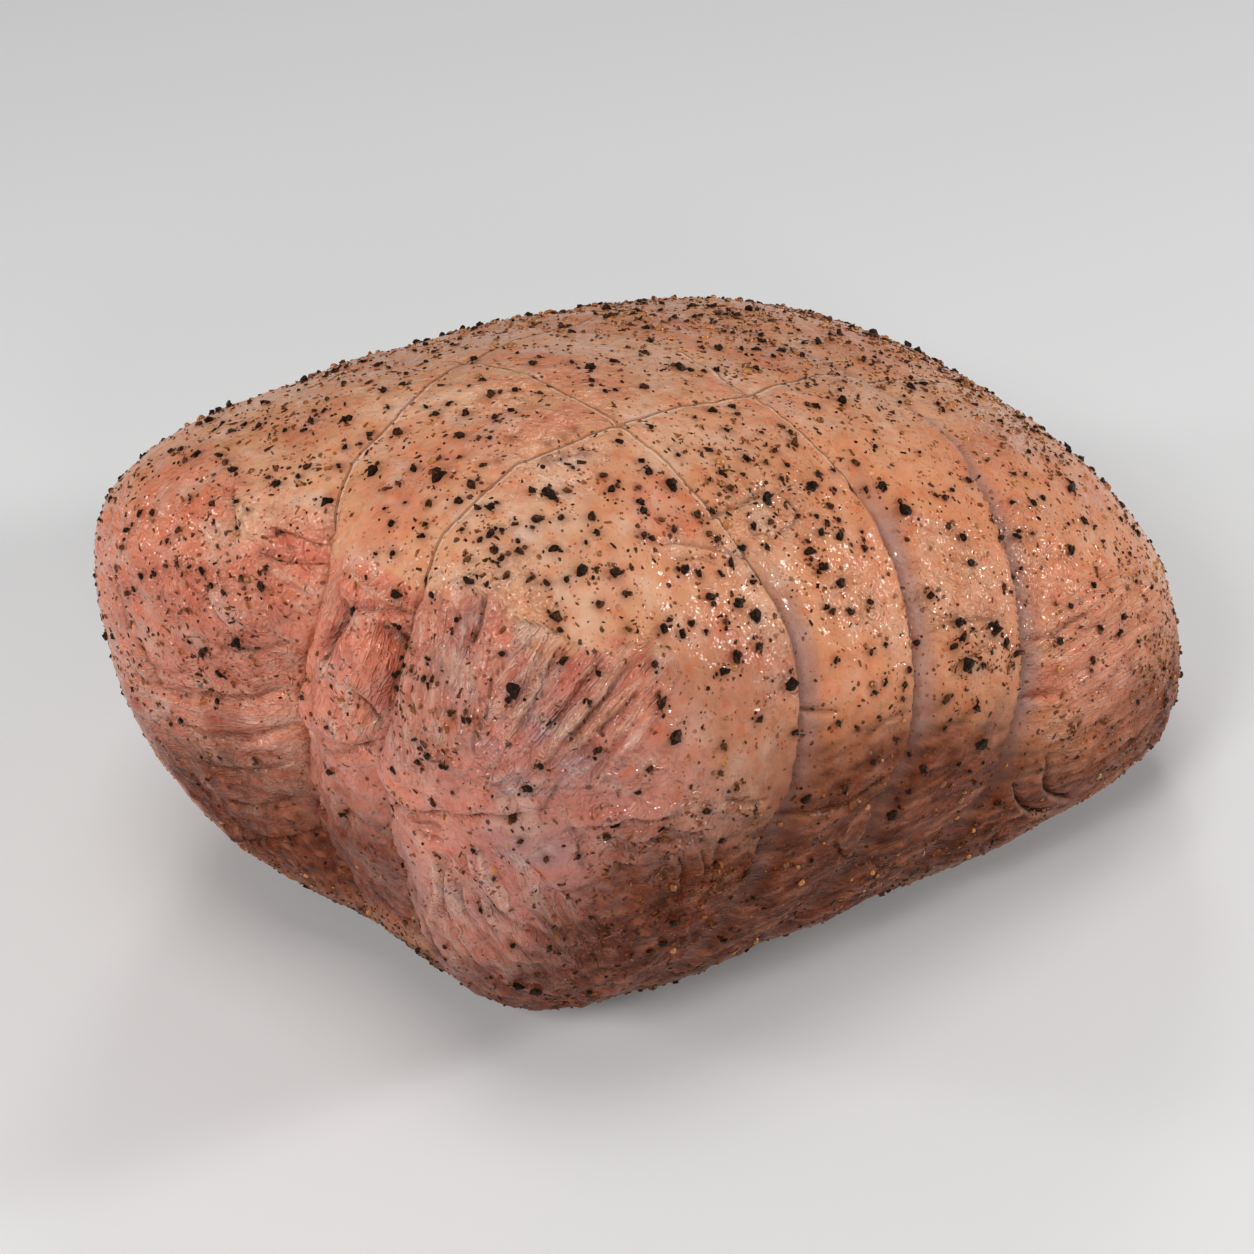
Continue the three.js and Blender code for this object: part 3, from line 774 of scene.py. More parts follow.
# Where the pepper sits
# Coarsely cracked pepper was pressed all over the ham before it was cooked. It lies thick
# on the far side, thinner on the bare meat, and the strips that the string pressed have
# almost none. The corns of the side in view stand where they are seen, with their size.
PEPPER_SEED = 11
SEEN_CORNS = [  # across, down, millimetres
    # the left lobe
    (238, 642, 3.0), (203, 652, 2.2), (220, 672, 2.0), (219, 702, 1.8), (212, 585, 1.6), (277, 485, 2.1),
    (268, 478, 1.4), (307, 468, 1.6), (312, 422, 1.9), (304, 431, 1.6), (324, 412, 1.5), (314, 412, 1.2),
    (346, 421, 1.7), (286, 431, 1.3), (299, 477, 1.2), (339, 467, 1.6), (224, 592, 1.5), (135, 588, 1.7),
    (155, 573, 1.6), (142, 576, 1.6), (203, 571, 2.0), (111, 500, 1.5), (141, 514, 1.8), (153, 513, 1.8),
    (198, 455, 2.0), (185, 462, 1.7), (221, 456, 2.0), (226, 463, 1.8), (234, 470, 1.8), (244, 426, 1.6),
    (231, 432, 1.8), (223, 424, 1.5), (259, 427, 1.5), (191, 499, 1.4), (212, 503, 1.3), (168, 541, 1.6),
    (179, 531, 1.6), (123, 547, 1.5), (127, 531, 1.5), (133, 524, 1.2), (248, 510, 1.1), (236, 502, 1.1),
    (178, 564, 1.6), (190, 567, 1.2), (166, 566, 1.2), (267, 568, 1.2), (243, 578, 1.7), (262, 586, 2.0),
    (190, 642, 1.2), (128, 592, 1.3),
    # the strip between the lengthwise lines, and the left of the front lobe
    (393, 553, 1.4), (376, 554, 1.0), (398, 595, 2.6), (355, 611, 1.7), (303, 697, 1.4), (317, 834, 1.0),
    (326, 863, 1.0), (519, 552, 2.2), (500, 559, 1.7), (467, 560, 1.3), (469, 582, 2.2), (487, 585, 1.1),
    (506, 576, 1.7), (493, 551, 1.4), (433, 596, 1.6), (457, 620, 1.3), (452, 630, 1.0), (477, 638, 1.2),
    (502, 654, 1.5), (514, 689, 3.4), (408, 646, 1.5), (401, 657, 1.2), (405, 665, 1.4), (395, 673, 1.9),
    (413, 671, 1.3), (424, 679, 1.5), (433, 679, 1.5), (428, 659, 1.4), (469, 719, 1.4), (451, 713, 1.6),
    (415, 739, 1.3), (422, 748, 1.5), (429, 756, 1.7), (419, 762, 1.6), (443, 765, 1.5), (447, 767, 1.2),
    (394, 770, 1.8), (382, 749, 1.2), (434, 801, 1.9),
    # the front lobe
    (581, 572, 2.7), (614, 574, 2.5), (566, 580, 1.5), (547, 583, 1.5), (531, 579, 1.8), (553, 550, 2.3),
    (502, 558, 1.4), (625, 595, 1.7), (599, 605, 1.8), (684, 571, 2.4), (698, 575, 1.9), (720, 574, 1.4),
    (752, 582, 2.0), (709, 598, 2.2), (737, 604, 2.6), (755, 616, 2.8), (725, 622, 1.6), (663, 629, 2.2),
    (669, 621, 1.6), (691, 623, 1.8), (681, 634, 1.8), (706, 632, 1.2), (555, 618, 2.4), (560, 630, 1.3),
    (628, 629, 1.5), (563, 661, 1.9), (654, 664, 1.7), (758, 647, 1.8), (722, 671, 2.2), (788, 683, 3.2),
    (661, 705, 2.0), (674, 738, 2.7), (759, 718, 2.0), (794, 732, 1.7), (597, 750, 2.2), (540, 767, 1.4),
    (527, 787, 2.2), (720, 773, 1.6), (649, 769, 1.6), (737, 787, 1.8), (590, 703, 1.2), (672, 921, 2.0),
    (662, 941, 2.4), (607, 928, 1.5), (537, 988, 3.0), (519, 985, 2.5), (723, 939, 2.5), (754, 897, 2.0),
    (731, 928, 1.6), (513, 817, 2.2), (520, 841, 1.3), (546, 858, 1.6), (578, 855, 1.6), (591, 916, 1.2),
    (512, 945, 1.2), (549, 947, 1.2), (649, 951, 1.8), (538, 974, 1.6), (474, 850, 1.3), (445, 946, 1.2),
    # the side bands and the butt end
    (839, 582, 2.2), (822, 568, 2.4), (869, 603, 1.8), (850, 611, 1.5), (871, 652, 1.6), (885, 644, 1.2),
    (835, 660, 1.6), (916, 642, 1.6), (908, 669, 1.6), (884, 682, 1.6), (874, 692, 1.6), (904, 684, 1.5),
    (902, 698, 1.4), (837, 723, 1.8), (857, 729, 1.6), (879, 717, 1.2), (897, 739, 1.5), (909, 754, 1.6),
    (872, 762, 1.6), (844, 787, 2.2), (922, 768, 2.4), (908, 790, 1.8), (892, 813, 2.6), (897, 799, 1.6),
    (980, 743, 3.0), (945, 699, 2.0), (975, 707, 2.0), (944, 728, 1.4), (969, 771, 1.4), (958, 764, 1.4),
    (983, 762, 1.0), (1023, 768, 1.2), (1041, 769, 1.2), (996, 802, 2.2), (930, 595, 2.0),
    (1003, 587, 1.7), (1011, 577, 1.7), (1011, 592, 1.0), (970, 563, 1.4), (957, 623, 2.6),
    (962, 636, 2.4), (953, 646, 2.6), (965, 666, 3.4), (982, 664, 1.8), (994, 630, 3.0), (1005, 643, 1.6),
    (1016, 652, 2.4), (1011, 664, 1.6), (991, 652, 1.4), (811, 860, 1.4), (746, 873, 2.0),
    (805, 797, 2.6), (1058, 642, 2.0), (1100, 629, 1.8), (1122, 617, 2.2), (1092, 585, 1.6),
    (1070, 606, 1.5), (1092, 661, 1.8), (1091, 671, 1.2), (1132, 667, 1.4), (1113, 692, 2.0),
    (1083, 684, 1.3), (1137, 702, 1.5), (1079, 718, 1.5), (1164, 702, 2.0), (1143, 596, 1.1),
    (1135, 581, 1.3), (1151, 587, 1.4), (1076, 757, 1.8),
    # the top, from the left
    (348, 420, 2.2), (384, 392, 1.5), (368, 384, 1.4), (344, 385, 1.8), (403, 386, 1.8), (406, 374, 1.3),
    (388, 408, 1.3), (370, 435, 1.7), (345, 448, 1.6), (361, 444, 1.2), (448, 405, 1.5), (437, 415, 1.8),
    (426, 408, 1.2), (466, 415, 2.2), (490, 397, 2.4), (500, 393, 1.4), (495, 419, 2.0), (512, 412, 1.5),
    (461, 437, 2.0), (479, 439, 1.3), (490, 439, 1.2), (512, 439, 1.5), (398, 435, 2.4), (375, 473, 2.8),
    (414, 470, 1.9), (399, 484, 1.5), (385, 490, 1.3), (441, 478, 3.4), (459, 458, 1.3), (439, 459, 1.2),
    (483, 466, 1.5), (498, 461, 1.3), (472, 486, 2.6), (575, 430, 1.6), (563, 437, 1.3), (548, 443, 1.6),
    (548, 460, 2.6), (563, 457, 2.0), (583, 455, 2.6), (573, 468, 1.1), (603, 477, 1.8), (549, 495, 2.4),
    (567, 491, 1.6), (610, 491, 1.8), (483, 381, 1.5), (516, 391, 1.5), (539, 394, 1.2), (474, 361, 2.0),
    (434, 353, 1.4), (452, 345, 1.2), (590, 369, 2.2), (572, 363, 1.8), (591, 382, 2.0), (605, 392, 1.4),
    (615, 391, 1.2), (613, 363, 2.0), (532, 365, 1.8), (539, 358, 1.4), (646, 354, 1.8), (628, 348, 1.3),
    (680, 370, 3.0), (643, 388, 2.0), (716, 371, 1.8), (704, 372, 1.2), (718, 350, 2.2), (702, 349, 1.2),
    (733, 334, 1.5), (782, 352, 1.8), (773, 357, 1.4), (757, 351, 2.0), (741, 350, 1.5), (801, 356, 2.2),
    (818, 344, 2.6), (863, 358, 1.4), (838, 375, 1.4), (831, 367, 1.1), (844, 382, 1.4), (840, 391, 1.2),
    (840, 403, 2.6), (817, 408, 2.0), (732, 408, 1.9), (737, 415, 1.4), (712, 412, 2.4), (725, 431, 2.0),
    (695, 418, 1.0), (651, 428, 1.3), (708, 451, 1.8), (678, 456, 1.2), (746, 460, 2.4), (766, 463, 1.4),
    (786, 466, 1.2), (793, 444, 2.2), (790, 433, 1.4), (761, 433, 1.0), (781, 427, 1.8), (619, 443, 1.6),
    (641, 462, 1.7), (649, 473, 2.0), (670, 485, 3.0), (617, 487, 1.2), (638, 488, 1.3), (730, 489, 1.5),
    (709, 480, 1.2), (742, 475, 1.2), (809, 486, 2.2), (818, 475, 1.5), (833, 471, 1.2), (855, 464, 1.8),
    (875, 447, 1.3), (881, 486, 2.0), (766, 497, 2.0), (661, 311, 1.5), (774, 452, 1.6), (874, 432, 1.0),
    (910, 388, 2.2), (910, 379, 1.5), (904, 397, 1.2), (899, 403, 1.3), (937, 405, 1.8), (906, 363, 1.4),
    (952, 411, 1.1), (919, 453, 1.2), (968, 481, 1.8), (951, 490, 1.3), (944, 498, 1.5), (935, 496, 1.5),
    (903, 512, 3.5), (1012, 503, 1.5), (1032, 504, 1.8), (1042, 498, 1.4), (1070, 490, 2.2),
    (1083, 522, 2.2), (1025, 475, 1.3), (1013, 474, 1.3), (1061, 463, 1.0), (1109, 509, 1.0),
    (1120, 520, 1.5), (1028, 453, 1.6), (986, 461, 1.0),
    # the top's near edge
    (429, 504, 1.8), (392, 525, 1.6), (385, 509, 1.0), (405, 503, 1.0), (425, 525, 1.2), (422, 537, 1.5),
    (459, 501, 1.6), (479, 509, 2.0), (491, 509, 2.2), (550, 497, 2.4), (538, 520, 2.4), (562, 518, 1.6),
    (591, 518, 1.8), (597, 533, 1.5), (532, 528, 1.2), (514, 525, 1.5), (491, 535, 2.2), (480, 541, 1.4),
    (502, 531, 1.2), (463, 530, 1.2), (468, 560, 1.5), (494, 550, 1.8), (518, 541, 1.2), (596, 568, 1.0),
    (586, 543, 1.0), (640, 503, 1.8), (643, 511, 1.6), (643, 536, 2.2), (651, 539, 1.4), (674, 530, 1.8),
    (660, 520, 1.4), (697, 516, 2.0), (701, 523, 1.3), (712, 511, 1.2), (708, 534, 1.8), (717, 539, 1.8),
    (753, 527, 1.8), (770, 522, 1.6), (766, 501, 2.2), (743, 548, 1.6), (730, 563, 2.0), (812, 487, 2.2),
    (834, 490, 1.2), (829, 507, 1.8), (816, 517, 1.2), (827, 524, 1.6), (820, 533, 1.8), (839, 537, 2.2),
    (838, 521, 1.4), (807, 541, 1.3), (810, 553, 2.4), (864, 549, 1.6), (863, 541, 1.2), (851, 545, 1.0),
    (948, 527, 1.6), (962, 539, 2.4), (970, 563, 1.6), (999, 538, 1.8), (1017, 537, 2.0),
    (1032, 534, 1.4), (1070, 551, 2.4), (1102, 542, 1.4), (1094, 527, 1.2), (1055, 604, 1.0),
    (1068, 524, 1.1), (1129, 554, 1.2),
]
CHARTED = [
    (100, 480), (200, 440), (345, 385), (470, 345), (620, 330), (760, 335), (900, 370), (1020, 440),
    (1130, 510), (1190, 640), (1160, 780), (1050, 830), (900, 900), (740, 960), (600, 1010), (450, 1000),
    (330, 900), (200, 850), (100, 700),
]
STREWN_CORNS = 1800
MIDDLE_CORN = 1.35
CORN_SPREAD = 0.28
LARGEST_CORN = 2.6
SMALLEST_CORN = 0.9
CORN_SWELL = 0.16
FAR_WAY = np.array([0.72, 0.69, 0.0])
FOOT_CLEAR = 3.0
EDGE_EASE = 1.0

draws = np.random.default_rng(PEPPER_SEED)
bare_points = points + normals * (rise - sink)[:, None] + lapping + sideways
for vert, place in zip(net.verts, bare_points):
    vert.co = place
triangles = np.array([[loop.vert.index for loop in corner] for corner in net.calc_loop_triangles()])
bare_ham = BVHTree.FromBMesh(net)
vertex_tree = KDTree(len(bare_points))
for index, place in enumerate(bare_points):
    vertex_tree.insert(place, index)
vertex_tree.balance()


def facing_of(places):
    """The outward direction at every vertex, and every triangle's area."""
    facets = np.cross(places[triangles[:, 1]] - places[triangles[:, 0]],
                      places[triangles[:, 2]] - places[triangles[:, 0]])
    summed = np.zeros_like(places)
    for corner in range(3):
        np.add.at(summed, triangles[:, corner], facets)
    return unit(summed), np.linalg.norm(facets, axis=1) / 2


bare_normals, areas = facing_of(bare_points)


def sow(count, wanted):
    """Random places on the skin, thicker where more are wanted: the place, the outward
    direction and the nearest vertex of each."""
    weight = np.cumsum(areas * np.mean(wanted[triangles], axis=1))
    picked = triangles[np.searchsorted(weight, draws.random(count) * weight[-1])]
    share = draws.dirichlet((1, 1, 1), count)
    places = np.sum(bare_points[picked] * share[:, :, None], axis=1)
    facing_out = unit(np.sum(bare_normals[picked] * share[:, :, None], axis=1))
    return places, facing_out, picked[:, 0]


def sizes_about(middle, spread, count, smallest, largest):
    """Random sizes in millimetres, most of them near a middle one."""
    return np.clip(draws.lognormal(math.log(middle), spread, count), smallest, largest)


charted = zone(CHARTED, 14)
far_side = smoothstep(-20, 60, bare_points @ FAR_WAY)
clumps = smoothstep(-0.35, 0.45, rough(points, 17, detail=2, shift=200.0))
pressed = np.clip(np.maximum(strip, cleft), 0, 1)
corn_wanted = (0.35 + 0.65 * clumps) * (0.7 + 0.6 * far_side)
corn_wanted = corn_wanted * (1 - 0.9 * charted) * (1 - 0.9 * pressed)

corn_list = []
for across, down, size in SEEN_CORNS:
    spot = on_ham(across, down, bare_ham)
    if spot is not None:
        corn_list.append((spot, bare_normals[vertex_tree.find(spot)[1]], size))
        if size > 1.9 and draws.random() < 0.5:
            beside = unit(np.cross(corn_list[-1][1], draws.normal(size=3)))
            near_spot, near_index, _ = vertex_tree.find(spot + beside * size * 0.62)
            small = size * draws.uniform(0.35, 0.6)
            corn_list.append((np.array(near_spot), bare_normals[near_index], small))
strewn_places, strewn_facing, _ = sow(STREWN_CORNS, corn_wanted)
strewn_sizes = sizes_about(MIDDLE_CORN, CORN_SPREAD, STREWN_CORNS, SMALLEST_CORN, LARGEST_CORN)
taken = np.array([spot for spot, _, _ in corn_list])
for spot, facing_out, size in zip(strewn_places, strewn_facing, strewn_sizes):
    clear = np.min(np.sum((taken - spot) ** 2, axis=1)) > size ** 2
    if clear and spot[2] > FOOT_CLEAR:
        corn_list.append((spot, facing_out, size))
        taken = np.concatenate([taken, [spot]])
corn_places = np.array([spot for spot, _, _ in corn_list])
corn_facing = np.array([facing_out for _, facing_out, _ in corn_list])
corn_sizes = np.array([size for _, _, size in corn_list])

swell = np.zeros(len(points))
halo = np.zeros(len(points))
for spot, size in zip(corn_places, corn_sizes):
    for _, index, distance in vertex_tree.find_range(spot, 1.4 * size + 0.8):
        swell[index] = max(swell[index], CORN_SWELL * size * math.exp(-((distance / (0.62 * size)) ** 2)))
        halo[index] = max(halo[index], math.exp(-((distance / (0.55 * size + 0.35)) ** 2)))
ham_points = settled(bare_points + bare_normals * swell[:, None])

# What would stand out past the solid's own box is eased back into it.
box_low = np.array(cad_low) / MM + MIDDLE
box_high = np.array(cad_high) / MM + MIDDLE
for limit, side in ((box_low, -1), (box_high, 1)):
    inner = limit - side * EDGE_EASE
    past = np.clip((ham_points - inner) * side, 0, None)
    ham_points[:, :2] += (side * (EDGE_EASE * np.tanh(past / EDGE_EASE) - past))[:, :2]
    if side > 0:
        ham_points[:, 2] += EDGE_EASE * np.tanh(past[:, 2] / EDGE_EASE) - past[:, 2]
corn_places = corn_places + corn_facing * (CORN_SWELL * corn_sizes)[:, None]


# The meat's mesh
# One closed, smooth shaded mesh of the whole ham, in the frame of the part. It stands in
# for the solid and holds the meat's material.
for vert, place in zip(net.verts, ham_points):
    vert.co = (place - MIDDLE) * MM
net.normal_update()
ham_mesh = bpy.data.meshes.new("ham meat")
net.to_mesh(ham_mesh)
net.free()
ham_mesh.polygons.foreach_set("use_smooth", [True] * len(ham_mesh.polygons))
ham = bpy.data.objects.new("ham_meat", ham_mesh)
bpy.context.collection.objects.link(ham)
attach(ham, "root")
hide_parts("ham")


# The meat's colours
# Cooked skin is a warm tan, paler where it is tight over fat; bare muscle is pink to
# brick red, browner where it dried, and the pressed strips beside the string are grey.
def linear(colour):
    """A colour given as shown on a screen, 0 to 255, in the renderer's own units."""
    c = np.array(colour) / 255
    return np.where(c <= 0.04045, c / 12.92, ((c + 0.055) / 1.055) ** 2.4)


def opaque(colour):
    """A colour given as shown on a screen, as the four numbers of a shader's socket."""
    return (*linear(colour), 1)


TAN = linear((212, 150, 112))
PALE_TAN = linear((222, 172, 138))
ROSY_TAN = linear((208, 132, 100))
MILKY = linear((216, 176, 154))
WARM_TAN = linear((208, 128, 82))
FLESH_PINK = linear((200, 124, 104))
FLESH_MAUVE = linear((170, 112, 106))
LILAC_SHEEN = linear((178, 134, 134))
DUN = linear((168, 108, 82))
BRICK = linear((190, 88, 66))
SALMON = linear((218, 128, 100))
FAT = linear((232, 184, 146))
BROWN = linear((102, 38, 12))
DARK_BROWN = linear((50, 18, 6))
GREY_MAUVE = linear((160, 126, 118))
CREASE_SHADE = linear((70, 30, 20))
PEPPERY = linear((160, 100, 60))
WARM_GLINT = (1.0, 0.72, 0.56, 1)

# Outlines of the patches of colour, as seen in the view. FOOT_SHADE is the low side, partly painted shade.
FOOT_SHADE = [
    (110, 700), (150, 735), (215, 745), (276, 800), (300, 822), (335, 822), (362, 838), (392, 880),
    (420, 940), (450, 965), (540, 955), (585, 890), (640, 850), (700, 830), (770, 812), (800, 760),
    (860, 735), (920, 715), (1010, 715), (1040, 760), (1100, 750), (1150, 680), (1200, 640), (1240, 800),
    (1000, 1000), (600, 1080), (300, 1000), (80, 800),
]
WARM_SIDE = [(800, 440), (960, 420), (1080, 480), (1180, 620), (1190, 760), (1040, 820), (800, 820)]
LEFT_RED = [(120, 560), (190, 560), (290, 570), (280, 640), (250, 700), (150, 680), (115, 620)]
STRIP_RED = [(318, 585), (352, 590), (345, 640), (315, 690), (296, 690), (306, 620)]
STRIP_BROWN = [(280, 740), (350, 760), (365, 800), (375, 880), (300, 850), (282, 790)]
FRONT_MAUVE = [(440, 620), (480, 600), (478, 660), (450, 700), (425, 680)]
FRONT_LOW_MAUVE = [(430, 830), (600, 830), (600, 900), (520, 940), (450, 910)]
FRONT_PALE = [(410, 590), (420, 560), (500, 560), (530, 600), (514, 622), (490, 600)]
FRONT_SHEEN = [(452, 690), (500, 676), (560, 720), (596, 756), (560, 806), (500, 796), (462, 740)]
FRONT_LOW_SHEEN = [(470, 830), (560, 840), (600, 880), (540, 930), (480, 900)]
FRONT_DUN = [(650, 650), (760, 640), (806, 680), (800, 800), (700, 820), (640, 760)]
LEFT_FAT = [(234, 498), (247, 496), (260, 512), (258, 536), (246, 544), (235, 530)]
LEFT_TEAR = [(262, 527), (310, 541), (312, 556), (275, 563), (252, 550)]
LEFT_MILKY = [(198, 522), (228, 518), (230, 543), (204, 545)]
LEFT_LOW_MILKY = [(206, 586), (252, 582), (258, 608), (240, 632), (208, 614)]
BUTT_ROSY = [(1050, 590), (1120, 560), (1180, 620), (1180, 720), (1090, 760), (1040, 700)]
BUTT_PINK = [(1060, 640), (1110, 620), (1130, 680), (1080, 710)]
BUTT_TEAR = [(1040, 668), (1066, 664), (1068, 700), (1046, 700)]

paint = np.tile(TAN, (len(points), 1))


def tint(colour, amount):
    """Lays a colour over the paint so far."""
    global paint
    amount = np.clip(amount, 0, 1)[:, None]
    paint = paint * (1 - amount) + colour * amount


def patch(colour, outline, soft, strength):
    """Lays a colour over an outlined patch, soft by so many steps of the view at its edge."""
    tint(colour, zone(outline, soft) * strength)


patchy = rough(points, 22, detail=3, shift=100.0)
patchy_small = rough(points, 7, detail=3, shift=130.0)
patchy_fine = rough(points, 3.2, detail=2, shift=160.0)
tint(PALE_TAN, smoothstep(0.0, 0.7, patchy) * 0.8)
tint(ROSY_TAN, smoothstep(0.0, 0.6, -patchy) * 0.8)
tint(MILKY, smoothstep(0.05, 0.6, patchy_small) * 0.45)
tint(ROSY_TAN, smoothstep(0.1, 0.7, -patchy_small) * 0.5)
patch(WARM_TAN, WARM_SIDE, soft=50, strength=0.45)
tint(SALMON, left_flesh * 0.85)
patch(BRICK, LEFT_RED, soft=22, strength=0.5)
tint(SALMON, strip_flesh)
patch(BRICK, STRIP_RED, soft=8, strength=0.7)
patch(BROWN, STRIP_BROWN, soft=12, strength=0.35)
tint(FLESH_PINK, front_flesh)
patch(FLESH_MAUVE, FRONT_MAUVE, soft=12, strength=0.8)
patch(FLESH_MAUVE, FRONT_LOW_MAUVE, soft=16, strength=0.6)
patch(PALE_TAN, FRONT_PALE, soft=14, strength=0.5)
# Painted sheen on the front lobe's wet meat, in lilac patches.
tint(LILAC_SHEEN, zone(FRONT_SHEEN, 20) * 0.55 * smoothstep(-0.4, 0.4, patchy_small))
patch(LILAC_SHEEN, FRONT_LOW_SHEEN, soft=20, strength=0.4)
patch(DUN, FRONT_DUN, soft=36, strength=0.6)
patch(FAT, LEFT_FAT, soft=7, strength=0.6)
patch(BRICK, LEFT_TEAR, soft=4, strength=0.6)
patch(MILKY, LEFT_MILKY, soft=5, strength=0.5)
patch(MILKY, LEFT_LOW_MILKY, soft=8, strength=0.35)
tint(MILKY, flesh * smoothstep(0.1, 0.6, patchy_small) * 0.45)
tint(BRICK, flesh * smoothstep(0.1, 0.7, -patchy_small) * 0.35)
tint(SALMON, flesh * smoothstep(0.1, 0.5, patchy) * 0.4)
tint(FLESH_MAUVE, front_flesh * smoothstep(0.0, 0.5, -patchy) * 0.5)
tint(MILKY, grain * smoothstep(0.1, 0.6, fibres) * 0.45)
tint(BRICK, grain * smoothstep(0.1, 0.6, -fibres) * 0.3)
tint(PEPPERY, peppered * 0.18)
tint(PEPPERY, far_side * 0.35 * smoothstep(-0.3, 0.5, patchy_fine))
patch(ROSY_TAN, BUTT_ROSY, soft=30, strength=0.6)
patch(FLESH_PINK, BUTT_PINK, soft=24, strength=0.35)
# Painted shade on the low side, where it turns from the lamps, over the real underside's darker brown.
unseen_foot_shade = 0.8 * smoothstep(50, 12, points[:, 2]) * (1 - seen)
foot = np.maximum(zone(FOOT_SHADE, 52, ragged=18.0), unseen_foot_shade)
tint(BROWN, foot * 0.88)
tint(DARK_BROWN, foot * smoothstep(-0.4, 0.4, patchy_fine) * 0.5)
tint(DARK_BROWN, foot * smoothstep(0.0, 0.5, -streaks) * 0.6)
tint(ROSY_TAN, foot * smoothstep(0.15, 0.6, streaks) * 0.30)
# Painted shade: darker towards the table all round, over the underside's own brown.
tint(DARK_BROWN, smoothstep(30, 6, points[:, 2]) * 0.85)
patch(BRICK, BUTT_TEAR, soft=6, strength=0.5)
tint(GREY_MAUVE, strip * 0.75 * (1 - 0.6 * foot))
# Painted highlight along the crests of the ridges.
tint(PALE_TAN, light * 0.6)
tint(BROWN, halo * 0.6)
# Painted shade in the folds, the slits and the string's clefts.
tint(CREASE_SHADE, np.maximum(dark, 0.8 * cleft) * 0.9)
paint *= (1 + 0.10 * patchy_fine)[:, None]
paint = np.clip(paint, 0.004, 0.95)


def keep_on_mesh(mesh, name, values):
    """Stores one number or colour for each vertex."""
    kind = "FLOAT" if values.ndim == 1 else "FLOAT_COLOR"
    layer = mesh.attributes.new(name, kind, "POINT")
    if values.ndim == 1:
        layer.data.foreach_set("value", values.astype(np.float32))
    else:
        full = np.concatenate([values, np.ones((len(values), 1))], axis=1)
        layer.data.foreach_set("color", full.astype(np.float32).ravel())


wet = np.clip(0.28 + 0.6 * crinkled + 0.6 * flesh + 0.3 * strip - 0.75 * foot, 0.06, 1.0)
for name, values in {
    "paint": paint,
    "string off": string_off,
    "string near": string_near,
    "fold off": fold_off,
    "fold near": fold_near,
    "crinkled": np.clip(crinkled + 0.45 * flesh, 0, 1),
    "wet": wet,
    "grain": np.clip(grain, 0, 1),
    "grain way": grain_way,
}.items():
    keep_on_mesh(ham_mesh, name, values)


def new_material(name):
    """A material with its node tree and shader."""
    made = bpy.data.materials.new(name)
    made.use_nodes = True
    return made, made.node_tree, made.node_tree.nodes["Principled BSDF"]


meat, tree, shader = new_material("ham meat")


def node(kind, **settings):
    made = tree.nodes.new(kind)
    for key, value in settings.items():
        setattr(made, key, value)
    return made


def link(out, into):
    tree.links.new(out, into)


def dial(made, settings):
    """Sets a node's own constants, socket by socket."""
    for socket, value in settings.items():
        made.inputs[socket].default_value = value


def feed(value, socket):
    """Sets a socket to a constant, or links what another node makes to it."""
    if isinstance(value, (int, float, tuple)):
        socket.default_value = value
    else:
        link(value, socket)


def attribute_node(name, output="Fac"):
    return node("ShaderNodeAttribute", attribute_name=name).outputs[output]


place = node("ShaderNodeTexCoord").outputs["Object"]
painted = attribute_node("paint", "Color")
string_far = attribute_node("string off")
string_by = attribute_node("string near")
fold_far = attribute_node("fold off")
fold_by = attribute_node("fold near")
wetness = attribute_node("wet")
crinkly = attribute_node("crinkled")


def waves_node(scale, detail=3.0, roughness=0.55, distortion=0.0, where=None):
    made = node("ShaderNodeTexNoise")
    dial(made, {"Scale": scale, "Detail": detail, "Roughness": roughness, "Distortion": distortion})
    link(place if where is None else where, made.inputs["Vector"])
    return made.outputs["Fac"]


def ramp_node(value, low, high):
    """A soft step from nought to one as the value goes from low to high."""
    made = node("ShaderNodeMapRange", interpolation_type="SMOOTHSTEP")
    feed(low, made.inputs["From Min"])
    feed(high, made.inputs["From Max"])
    link(value, made.inputs["Value"])
    return made.outputs["Result"]


def math_node(first, second, operation):
    made = node("ShaderNodeMath", operation=operation)
    feed(first, made.inputs[0])
    feed(second, made.inputs[1])
    return made.outputs["Value"]


def plus(first, second):
    return math_node(first, second, "ADD")


def minus(first, second):
    return math_node(first, second, "SUBTRACT")


def times(first, second):
    return math_node(first, second, "MULTIPLY")


def apart(first, second):
    """How far two values are apart, whichever is the larger."""
    return math_node(minus(first, second), 0.0, "ABSOLUTE")


def mix_node(amount, under, over, blend="MIX"):
    made = node("ShaderNodeMix", data_type="RGBA", blend_type=blend)
    feed(amount, made.inputs["Factor"])
    feed(under, made.inputs[6])
    feed(over, made.inputs[7])
    return made.outputs[2]


def vector_node(operation, first, second):
    """A place or a direction worked out from two others, or from one and a number."""
    made = node("ShaderNodeVectorMath", operation=operation)
    feed(first, made.inputs[0])
    feed(second, made.inputs["Scale" if operation == "SCALE" else 1])
    return made.outputs["Value" if operation == "DOT_PRODUCT" else "Vector"]


# Places shaken by up to half a SHAKE each way, so that specks have ragged edges.
SHAKE = 0.0012
shaken = node("ShaderNodeTexNoise")
dial(shaken, {"Scale": 900, "Detail": 3})
link(place, shaken.inputs["Vector"])
centred = vector_node("SUBTRACT", shaken.outputs["Color"], (0.5, 0.5, 0.5))
shaken_place = vector_node("ADD", place, vector_node("SCALE", centred, SHAKE))


